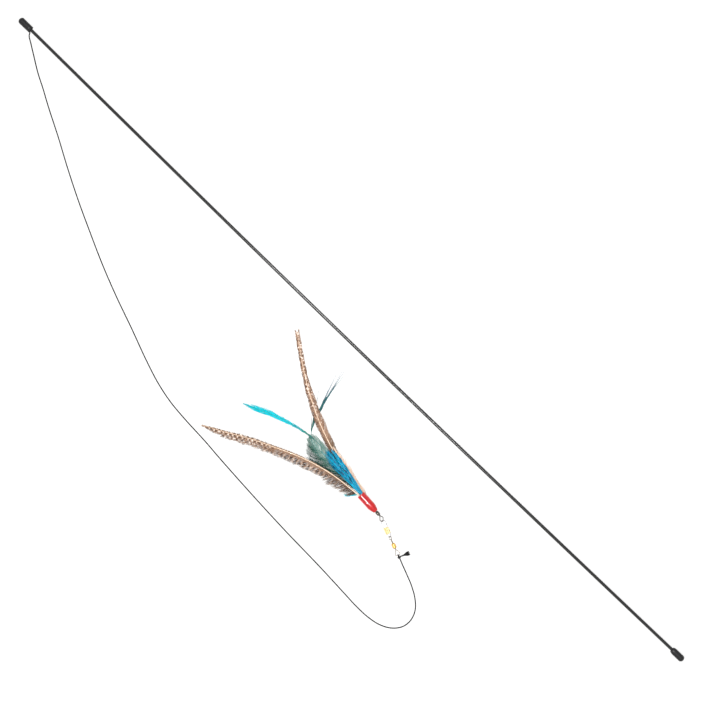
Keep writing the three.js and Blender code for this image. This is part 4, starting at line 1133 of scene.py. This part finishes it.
# Glue: set hot-melt glue fills the head cap and holds the quills. Its face has sunk in a meniscus. It is
# cloudy amber, and lets some light in.
GLUE_SIDES = 40
glue, tree, shader = new_material(
    "set hot-melt glue", Roughness=0.35, IOR=1.5, Subsurface_Weight=0.3, Subsurface_Scale=2 * MM
)
place = add_node(tree, "ShaderNodeTexCoord").outputs["Object"]
cloud = add_node(tree, "ShaderNodeTexNoise", {"Vector": place, "Scale": 700.0, "Detail": 3.0})
finish(tree, shader, cloud, ((0, "#C9B78F"), (1, "#EFE6CE")), strength=0.3, depth=0.3 * MM)
glue_profile = [(7.6, 0), (7.6, 3.2), (17.5, 3.25), (19.4, 3.25)]
glue_profile += [(19.0, 2.9), (18.6, 2.2), (18.4, 1.0), (18.35, 0)]
mesh_piece(
    "glue_fill",
    *turned([(x * MM, r * MM) for x, r in glue_profile], GLUE_SIDES),
    lure_frame,
    glue,
    "lure",
    ["glue_plug"],
    "glue",
)

# Long barred feather: a pheasant's tail feather, its shaft pale, its vane almost all to one side, worn
# into a ragged fringe. Near the cap its barbs are loose dark down.
LURE_MOUTH = HEAD_LENGTH
QUILL_SEAT = (12.8, 18.5, LURE_MOUTH + 1)
SHAFT_SIDES = 10
SHAFT_TIP = 0.15 * MM
BARB_DROP = Vector((0, 0, 0.15 * MM))


def shaft_path(seat, route):
    """The centre line of a feather's shaft from its seat in the glue, in the frame of the lure"""
    root = [(x, *seat) for x in QUILL_SEAT]
    return smooth_path(millimetres(root + [(LURE_MOUTH + x, y, z) for x, y, z in route]), spacing=0.4 * MM)


def shaft(name, path, radius, material, node, slot):
    """The shaft of a feather, a horn rod that thins to its tip"""
    count = len(path) - 1
    radii = [radius * MM + (SHAFT_TIP - radius * MM) * i / count for i in range(count + 1)]
    mesh_piece(name, *swept(path[::2], radii[::2], SHAFT_SIDES), lure_frame, material, "lure", [node], slot)


def barbs(name, path, span, left, right, nodes, slot, **sizes):
    """The barbs on one stretch of a shaft, in millimetres and degrees"""
    first, last = (int(share * (len(path) - 1)) for share in span)
    stretch = [lure_frame @ (p - BARB_DROP) for p in path[first : last + 1]]
    seat_end = sum((path[i + 1] - path[i]).length for i in range(first))
    made = stem_thread(name, stretch, left, right, seat_end)
    lengths = ("step", "width", "thickness", "droop", "lift", "wave")
    scaled = {key: value * MM if key in lengths else value for key, value in sizes.items()}
    scaled["lean"] = math.radians(sizes["lean"])
    scaled["lean_spread"] = math.radians(sizes["lean_spread"])
    return run_tree(made, strands, "lure", nodes, slot, **scaled)


def plumage(name, *reads, **sockets):
    """A feather's material and its shader, its place, and the numbers of the barbs that it reads"""
    material, tree, shader = new_material(name, IOR=1.54, **sockets)
    place = add_node(tree, "ShaderNodeTexCoord").outputs["Object"]
    numbers = [add_node(tree, "ShaderNodeAttribute", attribute_name=n).outputs["Fac"] for n in reads]
    return material, tree, shader, place, *numbers


def stretched(tree, at, first, last):
    """How far a point has come from the first to the last place, 0 to 1"""
    gone = add_node(tree, "ShaderNodeMath", [at, first], operation="SUBTRACT")
    return add_node(tree, "ShaderNodeMath", [gone, last - first], operation="DIVIDE", use_clamp=True)


def swayed(tree, value, source, amount, centre=None):
    """The value and an amount of the source, or of how far the source lies from its centre"""
    if centre is not None:
        source = add_node(tree, "ShaderNodeMath", [source, centre], operation="SUBTRACT")
    part = add_node(tree, "ShaderNodeMath", [source, amount], operation="MULTIPLY")
    return add_node(tree, "ShaderNodeMath", [value, part], operation="ADD")


def barbules(tree, shader, place, colour, depth=0.05 * MM):
    """Links the colour, and the fine relief of the barbules along each barb"""
    tree.links.new(colour, shader.inputs["Base Color"])
    relief = add_node(tree, "ShaderNodeTexNoise", {"Vector": place, "Scale": 5200.0, "Detail": 2.0})
    bump = add_node(tree, "ShaderNodeBump", {"Strength": 0.4, "Distance": depth, "Height": relief})
    tree.links.new(bump.outputs[0], shader.inputs["Normal"])


def shaft_horn(name, dark, light, **sockets):
    """The horn of a shaft, in patches of a dark and a light shade"""
    material, tree, shader, place = plumage(name, **sockets)
    patches = add_node(tree, "ShaderNodeTexNoise", {"Vector": place, "Scale": 600.0, "Detail": 2.0})
    shades = add_node(tree, "ShaderNodeValToRGB", [patches], stops=((0.3, dark), (0.7, light)))
    barbules(tree, shader, place, shades.outputs[0], depth=0.03 * MM)
    return material


# Barred plumage: warm brown barbs crossed by dark bars and near-white spots every 5 mm, so that the vane
# looks like a net. Nearer to the root the bars are plain chevrons, which leave the rim beside the shaft
# tan, and the root itself is dark.
BAR_PITCH = 5.0 * MM
SPOT_ROWS = 5.4 * MM
NET_FROM = 92 * MM
NET_FULL = 125 * MM
RIM_EDGE = 2.2 * MM
RIM_FADED = 3.8 * MM
ROOT_DARK = 52 * MM
soft_sheen = {"Specular_IOR_Level": 0.2, "Sheen_Weight": 0.05, "Sheen_Roughness": 0.5}
barred, tree, shader, place, at, across, share, tone = plumage(
    "pheasant plumage, barred", "lies_at", "lies_across", "share", "tone", Roughness=0.62, **soft_sheen
)
drift = add_node(tree, "ShaderNodeTexNoise", {"Vector": place, "Scale": 260.0, "Detail": 2.0})
bars = add_node(tree, "ShaderNodeMath", [at, BAR_PITCH], operation="DIVIDE")
bars = swayed(tree, bars, drift, 1.25, centre=0.5)
bars = swayed(tree, bars, tone, 0.12)
bars = add_node(tree, "ShaderNodeMath", [bars, 2 * math.pi], operation="MULTIPLY")
bars = add_node(tree, "ShaderNodeMath", [bars], operation="SINE")
rows = add_node(tree, "ShaderNodeMath", [across, SPOT_ROWS], operation="DIVIDE")
rows = add_node(tree, "ShaderNodeMath", [rows, 2 * math.pi], operation="MULTIPLY")
rows = add_node(tree, "ShaderNodeMath", [rows], operation="SINE")
netted = stretched(tree, at, NET_FROM, NET_FULL)
checks = add_node(tree, "ShaderNodeMath", [bars, rows], operation="MULTIPLY")
checks = add_node(tree, "ShaderNodeMath", [checks, netted], operation="MULTIPLY")
off_rim = stretched(tree, across, RIM_EDGE, RIM_FADED)
darker = add_node(tree, "ShaderNodeMath", [off_rim, 0.42], operation="MULTIPLY")
chevrons = add_node(tree, "ShaderNodeMath", [bars, off_rim], operation="MULTIPLY")
chevrons = add_node(tree, "ShaderNodeMath", [chevrons, darker], operation="SUBTRACT")
plain = add_node(tree, "ShaderNodeMath", [1.0, netted], operation="SUBTRACT")
chevrons = add_node(tree, "ShaderNodeMath", [chevrons, plain], operation="MULTIPLY")
value = add_node(tree, "ShaderNodeMath", [checks, chevrons], operation="ADD")
value = add_node(tree, "ShaderNodeMath", [value, 0.4], operation="MULTIPLY")
value = add_node(tree, "ShaderNodeMath", [value, 0.5], operation="ADD")
flecks = add_node(tree, "ShaderNodeTexNoise", {"Vector": place, "Scale": 900.0, "Detail": 2.0})
value = swayed(tree, value, flecks, 0.35, centre=0.5)
value = swayed(tree, value, tone, 0.07)
stops = ((0.08, "#4A362B"), (0.36, "#7E5F4B"), (0.64, "#A8866D"), (0.88, "#EFE3D9"))
vane_colour = add_node(tree, "ShaderNodeValToRGB", [value], stops=stops)
stops = ((0.1, "#33251D"), (0.6, "#5C4738"), (0.97, "#A58A75"))
root_colour = add_node(tree, "ShaderNodeValToRGB", [share], stops=stops)
near_root = add_node(tree, "ShaderNodeMath", [at, ROOT_DARK], operation="DIVIDE")
near_root = add_node(tree, "ShaderNodeMath", [1.2, near_root], operation="SUBTRACT", use_clamp=True)
mixed = add_node(tree, "ShaderNodeMix", {0: near_root, 6: vane_colour, 7: root_colour}, data_type="RGBA")
barbules(tree, shader, place, mixed.outputs[2])

# Feather shaft: pale horn, cream with a peach cast, with fine lengthwise grooves.
horn = shaft_horn("feather shaft, pale horn", "#DDBC9B", "#F4DFC8", Roughness=0.38, Coat_Weight=0.15)

long_path = shaft_path(
    (2.1, 0.4),
    [
        (13.9, 3.9, 0.8), (26.1, 5.9, 1.4), (41.2, 9.5, 2), (56.6, 14.6, 2.4), (74.3, 22.2, 2.4),
        (92.2, 31.7, 1.8), (114.2, 43.7, 0.4), (134.9, 57.2, -1.6), (158.9, 71.8, -3.4),
    ],
)
shaft("long_feather_shaft", long_path, 0.6, horn, "barred_feather_long_quill", "barred_feather")
vane_sizes = {"points": 7, "width": 0.34, "thickness": 0.1, "lean_spread": 4, "wave_scale": 2.0}
barbs(
    "long_feather_vane",
    long_path,
    (0.24, 0.99),
    [8.4, 8.8, 8.2, 7.4, 7.0, 6.2, 4.2, 1.2],
    [0.8, 1.1, 1.3, 1.5, 1.8, 1.9, 1.4, 0.6],
    ["barred_feather_long_vane"],
    "barred_feather",
    step=0.3, lean=38, curl=0.35, droop=0.5, lift=0.35, ragged=0.13, clump=9.0, pull=0.75, wave=0.5,
    seed=11, material=barred,
    **vane_sizes,
)
barbs(
    "long_feather_down",
    long_path,
    (0.075, 0.27),
    [7.5, 10, 9.6, 9],
    [0.8, 1.2, 1.2, 1.0],
    [],
    "barred_feather",
    step=0.24, points=10, width=0.32, thickness=0.12, lean=58, lean_spread=6, curl=0.25, droop=1.2,
    lift=0.9, ragged=0.2, clump=9.0, pull=1.25, wave=1.6, wave_scale=2.2, seed=12, material=barred,
)

# Upright barred feather: of the same bird, curled narrower. It is plain beige low down and spotted with white
# towards its tip. Its side that lies to +Y curls down, where painted shade darkens it, and its root is olive.
SPOTS_FROM = 80 * MM
SPOTS_FULL = 110 * MM
ROLL_SHADE_WIDTH = 3.4 * MM
OLIVE_TO = 78 * MM
OLIVE_FADE = 20 * MM
mottled, tree, shader, place, at, across, tone = plumage(
    "pheasant plumage, mottled", "lies_at", "lies_across", "tone", Roughness=0.62, **soft_sheen
)
spots = add_node(tree, "ShaderNodeTexNoise", {"Vector": place, "Scale": 520.0, "Detail": 3.0})
spots = add_node(tree, "ShaderNodeMath", [spots, 0.5], operation="SUBTRACT")
contrast = stretched(tree, at, SPOTS_FROM, SPOTS_FULL)
contrast = add_node(tree, "ShaderNodeMath", [contrast, 2.1], operation="MULTIPLY")
contrast = add_node(tree, "ShaderNodeMath", [contrast, 0.5], operation="ADD")
value = add_node(tree, "ShaderNodeMath", [spots, contrast], operation="MULTIPLY")
value = add_node(tree, "ShaderNodeMath", [value, 0.5], operation="ADD")
value = swayed(tree, value, tone, 0.08)
# Painted shade: the +Y side, which curls down, darkens the farther it lies from the shaft, in full past 3.4
# mm.
painted_roll_shade = add_node(tree, "ShaderNodeMath", [across, 0.0], operation="MAXIMUM")
painted_roll_shade = add_node(tree, "ShaderNodeMath", [painted_roll_shade, 1 / ROLL_SHADE_WIDTH], operation="MULTIPLY", use_clamp=True)
value = swayed(tree, value, painted_roll_shade, -0.2)
stops = ((0.06, "#5C4334"), (0.34, "#8A6A55"), (0.6, "#AD8A73"), (0.88, "#F0E4DA"))
spotted = add_node(tree, "ShaderNodeValToRGB", [value], stops=stops)
near_root = add_node(tree, "ShaderNodeMath", [OLIVE_TO, at], operation="SUBTRACT")
near_root = add_node(tree, "ShaderNodeMath", [near_root, OLIVE_FADE], operation="DIVIDE", use_clamp=True)
mixed = add_node(tree, "ShaderNodeMix", {0: near_root, 6: spotted, 7: linear("#3E3524")}, data_type="RGBA")
barbules(tree, shader, place, mixed.outputs[2])

upright_path = shaft_path(
    (-1.1, -0.3),
    [
        (16.7, -2.9, -0.7), (30.8, -4.4, -0.8), (39.1, -6, -0.7), (52.8, -9.5, -0.3),
        (65.3, -12.9, 0.1), (83.6, -18.9, 0), (100.8, -26, -0.6), (122.6, -36.8, -1.5),
        (144.7, -50, -2.6), (165.1, -63.3, -3.4),
    ],
)
shaft("upright_feather_shaft", upright_path, 0.6, horn, "barred_feather_upright_quill", "barred_feather")
barbs(
    "upright_feather_vane",
    upright_path,
    (0.24, 0.98),
    [2.2, 3.8, 4.0, 3.5, 3.0, 2.5, 2.2, 2.2, 2.0],
    [2.4, 4.4, 4.8, 4.2, 3.8, 2.8, 2.6, 2.6, 2.2],
    ["barred_feather_upright_vane"],
    "barred_feather",
    step=0.27, lean=24, curl=0.5, droop=0.8, lift=0.3, ragged=0.14, clump=8.0, pull=0.6, wave=0.4,
    seed=21, material=mottled,
    **vane_sizes,
)

# Turquoise hackle: a long thin cock's feather dyed turquoise, brightest in its outer half. It lies over
# the teal one.
DYE_FROM = 84 * MM
DYE_FULL = 112 * MM
turquoise, tree, shader, place, at, tone = plumage(
    "hackle, dyed turquoise", "lies_at", "tone", Roughness=0.45, Specular_IOR_Level=0.1
)
patches = add_node(tree, "ShaderNodeTexNoise", {"Vector": place, "Scale": 700.0, "Detail": 2.0})
value = swayed(tree, stretched(tree, at, DYE_FROM, DYE_FULL), tone, 0.16)
value = swayed(tree, value, patches, 0.3, centre=0.5)
stops = ((0.0, "#1F6659"), (0.3, "#0E8A7E"), (0.62, "#00AAB6"), (1.0, "#00C6D4"))
dyed = add_node(tree, "ShaderNodeValToRGB", [value], stops=stops)
barbules(tree, shader, place, dyed.outputs[0])

# Dyed shaft: horn that took the teal dye unevenly, dark with a faint gloss.
dark_shaft = shaft_horn(
    "feather shaft, dyed dark teal", "#0C4F4B", "#1F7A72", Roughness=0.4, Coat_Weight=0.1
)
turquoise_path = shaft_path(
    (0.6, 0.8),
    [
        (16.5, -0.7, 1.1), (34.6, -1.7, 1.4), (52.8, -3.1, 1.6), (67, -3, 1.6), (83.3, -0.5, 1.6),
        (96, 3.2, 1.5), (107, 7.1, 1.4), (115.3, 10.5, 1.2), (130.6, 18.2, 0.2), (146.5, 26.3, -1.2),
    ],
)
quill = "turquoise_hackle_quill"
shaft("turquoise_hackle_shaft", turquoise_path, 0.4, dark_shaft, quill, "turquoise_feather")
hackle_sizes = {"points": 8, "width": 0.3, "thickness": 0.1, "lean_spread": 4, "wave_scale": 1.6}
barbs(
    "turquoise_hackle_barbs",
    turquoise_path,
    (0.5, 0.985),
    [0.8, 1.0, 1.3, 1.9, 2.4, 2.1, 1.3, 0.6],
    [0.7, 0.9, 1.1, 1.6, 2.3, 1.8, 1.1, 0.5],
    ["turquoise_hackle_vane"],
    "turquoise_feather",
    step=0.34, lean=13, curl=0.5, droop=0.3, lift=0.4, ragged=0.34, clump=14.0, pull=1.1, wave=0.9,
    seed=31, material=turquoise,
    **hackle_sizes,
)

# Teal hackle: a thin cock's feather dyed dark teal, bent over behind the upright feather. Few barbs are
# left on it, and they lie almost along its shaft.
TEAL_FROM = 85 * MM
TEAL_SPAN = 52 * MM
teal, tree, shader, place, at, tone = plumage(
    "hackle, dyed dark teal", "lies_at", "tone", Roughness=0.5, Specular_IOR_Level=0.1
)
value = add_node(tree, "ShaderNodeMath", [at, TEAL_FROM], operation="SUBTRACT")
value = add_node(tree, "ShaderNodeMath", [value, TEAL_SPAN], operation="DIVIDE")
value = swayed(tree, value, tone, 0.22)
stops = ((0.0, "#164A3C"), (0.4, "#18524E"), (0.75, "#1F5860"), (1.0, "#3C6276"))
faded = add_node(tree, "ShaderNodeValToRGB", [value], stops=stops)
barbules(tree, shader, place, faded.outputs[0])
teal_path = shaft_path(
    (0.6, -1.1),
    [
        (16.5, 0.3, -1.2), (32.4, 1.9, -1.5), (48.3, 4.2, -1.8), (60.3, 4.8, -2), (70, 1.7, -2.2),
        (77.9, -3.8, -2.3), (83.9, -11.9, -2.4), (88.6, -22.6, -2.6), (93.1, -36.3, -2.8),
        (96.6, -53.1, -3.1), (98.9, -66.6, -3.4),
    ],
)
shaft("teal_hackle_shaft", teal_path, 0.4, dark_shaft, "teal_hackle_quill", "teal_feather")
barbs(
    "teal_hackle_barbs",
    teal_path,
    (0.58, 0.84),
    [0.5, 0.7, 0.8, 0.7, 0.6, 0.5, 0.4],
    [1.2, 1.8, 2.0, 1.6, 1.0, 0.7, 0.5],
    ["teal_hackle_vane"],
    "teal_feather",
    step=1.2, lean=5, curl=1.2, droop=0.2, lift=0.4, ragged=0.36, clump=6.0, pull=0.9, wave=0.8, seed=41,
    material=teal,
    **dict(hackle_sizes, width=0.42),
)

# Blue feathers: two stiff biots dyed bright blue, side by side on top of the bundle, with dark lines
# where their barbs part.
blue, tree, shader, place, tone = plumage(
    "biots, dyed bright blue", "tone", Roughness=0.4, Specular_IOR_Level=0.1
)
patches = add_node(tree, "ShaderNodeTexNoise", {"Vector": place, "Scale": 500.0, "Detail": 2.0})
value = swayed(tree, swayed(tree, 0.54, tone, 0.55), patches, 0.6, centre=0.5)
stops = ((0.1, "#00283E"), (0.34, "#006286"), (0.6, "#0092B6"), (1.0, "#00BCE0"))
blues = add_node(tree, "ShaderNodeValToRGB", [value], stops=stops)
barbules(tree, shader, place, blues.outputs[0])

# Dyed blue shaft: stiff horn, dyed through, a little glossier than the barbs.
blue_shaft = shaft_horn("feather shaft, dyed blue", "#004D72", "#0078A6", Roughness=0.36, Coat_Weight=0.15)
inner_path = shaft_path(
    (-0.9, 2),
    [(10.6, -1.3, 2.6), (19.6, -1.4, 2.9), (30.7, -1.6, 3.1), (42.8, -3.4, 3.1), (54.5, -5.4, 2.9)],
)
outer_path = shaft_path(
    (-2.3, 1.4),
    [(10.7, -3.2, 1.9), (19.8, -4.3, 2.1), (30.9, -5.9, 2.2), (43, -7.6, 2.3), (53.1, -8.6, 2.4)],
)
for which, path, seed, left, right in (
    ("inner", inner_path, 51, [1.4, 2.6, 3.8, 4.2, 2.6, 0.6], [1.0, 1.8, 2.0, 2.0, 1.4, 0.5]),
    ("outer", outer_path, 52, [1.0, 1.6, 1.8, 2.0, 1.4, 0.5], [1.0, 1.8, 2.2, 2.0, 1.4, 0.5]),
):
    shaft(f"blue_{which}_shaft", path, 0.35, blue_shaft, f"blue_feather_{which}_quill", "blue_feather")
    barbs(
        f"blue_{which}_vane",
        path,
        (0.13, 0.98),
        left,
        right,
        [f"blue_feather_{which}_vane"],
        "blue_feather",
        step=0.26, lean=15, curl=0.6, droop=0.6, lift=0.3, ragged=0.14, clump=7.0, pull=0.6, wave=0.4,
        seed=seed, material=blue,
        **hackle_sizes,
    )

# Beige feather: a wisp of undyed hackle on the far side of the blue ones, cream with a pink cast.
beige, tree, shader, place, tone = plumage("hackle, undyed cream", "tone", Roughness=0.55, **soft_sheen)
stops = ((0.0, "#C39A7C"), (0.45, "#E8C4A8"), (1.0, "#FAE8D8"))
creams = add_node(tree, "ShaderNodeValToRGB", [swayed(tree, 0.5, tone, 0.5)], stops=stops)
barbules(tree, shader, place, creams.outputs[0])
beige_path = shaft_path(
    (-2.6, -0.5),
    [(10.7, -3.1, 0.8), (19.8, -4.9, 1), (31, -7.4, 1), (43.2, -9.7, 1.1), (54.2, -11.3, 1.2)],
)
shaft("beige_feather_shaft", beige_path, 0.3, horn, "beige_feather_quill", "beige_feather")
barbs(
    "beige_feather_barbs",
    beige_path,
    (0.06, 0.98),
    [0.8, 1.0, 1.2, 1.2, 1.0, 0.5],
    [4.6, 4.8, 3.4, 2.4, 1.8, 0.8],
    ["beige_feather_vane"],
    "beige_feather",
    step=0.5, lean=20, curl=0.4, droop=0.4, lift=0.6, ragged=0.36, clump=4.0, pull=0.9, wave=1.2,
    seed=61, material=beige,
    **hackle_sizes,
)

# Downy feather: the webby base of a dyed hackle, under the bundle. Its soft barbs sweep forward, dark
# green on the outside and thin grey-white within.
EDGE_REACH = 8 * MM
BASE_DARK = 38 * MM
down, tree, shader, place, at, across, tone = plumage(
    "down, dyed green and faded",
    "lies_at",
    "lies_across",
    "tone",
    Roughness=0.7,
    **dict(soft_sheen, Sheen_Roughness=0.6),
)
edge = add_node(tree, "ShaderNodeMath", [across, EDGE_REACH], operation="DIVIDE", use_clamp=True)
base = add_node(tree, "ShaderNodeMath", [at, BASE_DARK], operation="DIVIDE")
base = add_node(tree, "ShaderNodeMath", [1.4, base], operation="SUBTRACT", use_clamp=True)
value = swayed(tree, 0.74, tone, 0.2)
value = swayed(tree, value, edge, -0.7)
value = swayed(tree, value, base, -0.62)
stops = ((0.05, "#083A2F"), (0.3, "#225A4A"), (0.62, "#648A7F"), (0.9, "#B9CBC5"))
greens = add_node(tree, "ShaderNodeValToRGB", [value], stops=stops)
barbules(tree, shader, place, greens.outputs[0])
downy_path = shaft_path(
    (-0.7, -2.2),
    [(14.6, -1.3, -2.7), (29.5, -0.5, -3.15), (49.5, 0.9, -3.2), (66.6, 0.4, -3.2), (78.7, -1.2, -3.25)],
)
shaft("downy_feather_shaft", downy_path, 0.35, dark_shaft, "downy_feather_quill", "downy_feather")
barbs(
    "downy_feather_barbs",
    downy_path,
    (0.16, 0.98),
    [3.5, 7.3, 11.0, 12.2, 10.0, 7.0, 4.0, 0.8],
    [1.5, 3.5, 6.0, 7.5, 8.0, 7.0, 4.5, 1.0],
    ["downy_feather_vane"],
    "downy_feather",
    step=0.26, points=10, width=0.24, thickness=0.1, lean=24, lean_spread=2, curl=0.8, droop=0.0,
    lift=0.4, ragged=0.06, clump=6.0, pull=0.5, wave=0.6, wave_scale=2.2, seed=71, material=down,
)

# Cyan tuft: a few short barbs of a bright dyed feather that stick out at the mouth of the cap. Their tips
# are paler, with a soft sheen.
tuft_path = shaft_path((1.9, -1.7), [(2.8, 3.6, -1.9), (6, 7.4, -2.7), (10, 12.9, -3.3)])
cyan, tree, shader, place, tone = plumage(
    "hackle tips, dyed bright cyan", "tone", Roughness=0.45, **dict(soft_sheen, Sheen_Roughness=0.4)
)
stops = ((0.0, "#00A8C4"), (1.0, "#4FE3F0"))
cyans = add_node(tree, "ShaderNodeValToRGB", [swayed(tree, 0.5, tone, 0.5)], stops=stops)
barbules(tree, shader, place, cyans.outputs[0])
shaft("cyan_tuft_shaft", tuft_path, 0.3, dark_shaft, "cyan_tuft_quill", "turquoise_feather")
barbs(
    "cyan_tuft_barbs",
    tuft_path,
    (0.5, 0.95),
    [1.2, 1.3, 1.0, 0.6],
    [1.2, 1.3, 1.0, 0.6],
    ["cyan_tuft_vane"],
    "turquoise_feather",
    step=0.4, lean=16, curl=0.4, droop=0.1, lift=0.3, ragged=0.3, clump=4.0, pull=0.6, wave=0.8, seed=81,
    material=cyan,
    **hackle_sizes,
)

# The line runs free from the tip cap to the knot, and the swivel and the snap hang on its end. Their pieces
# join the tag end's in one list.
tag_pieces += [knot, line_eye, barrel, snap_eye, snap_frame_piece, latch, clasp]
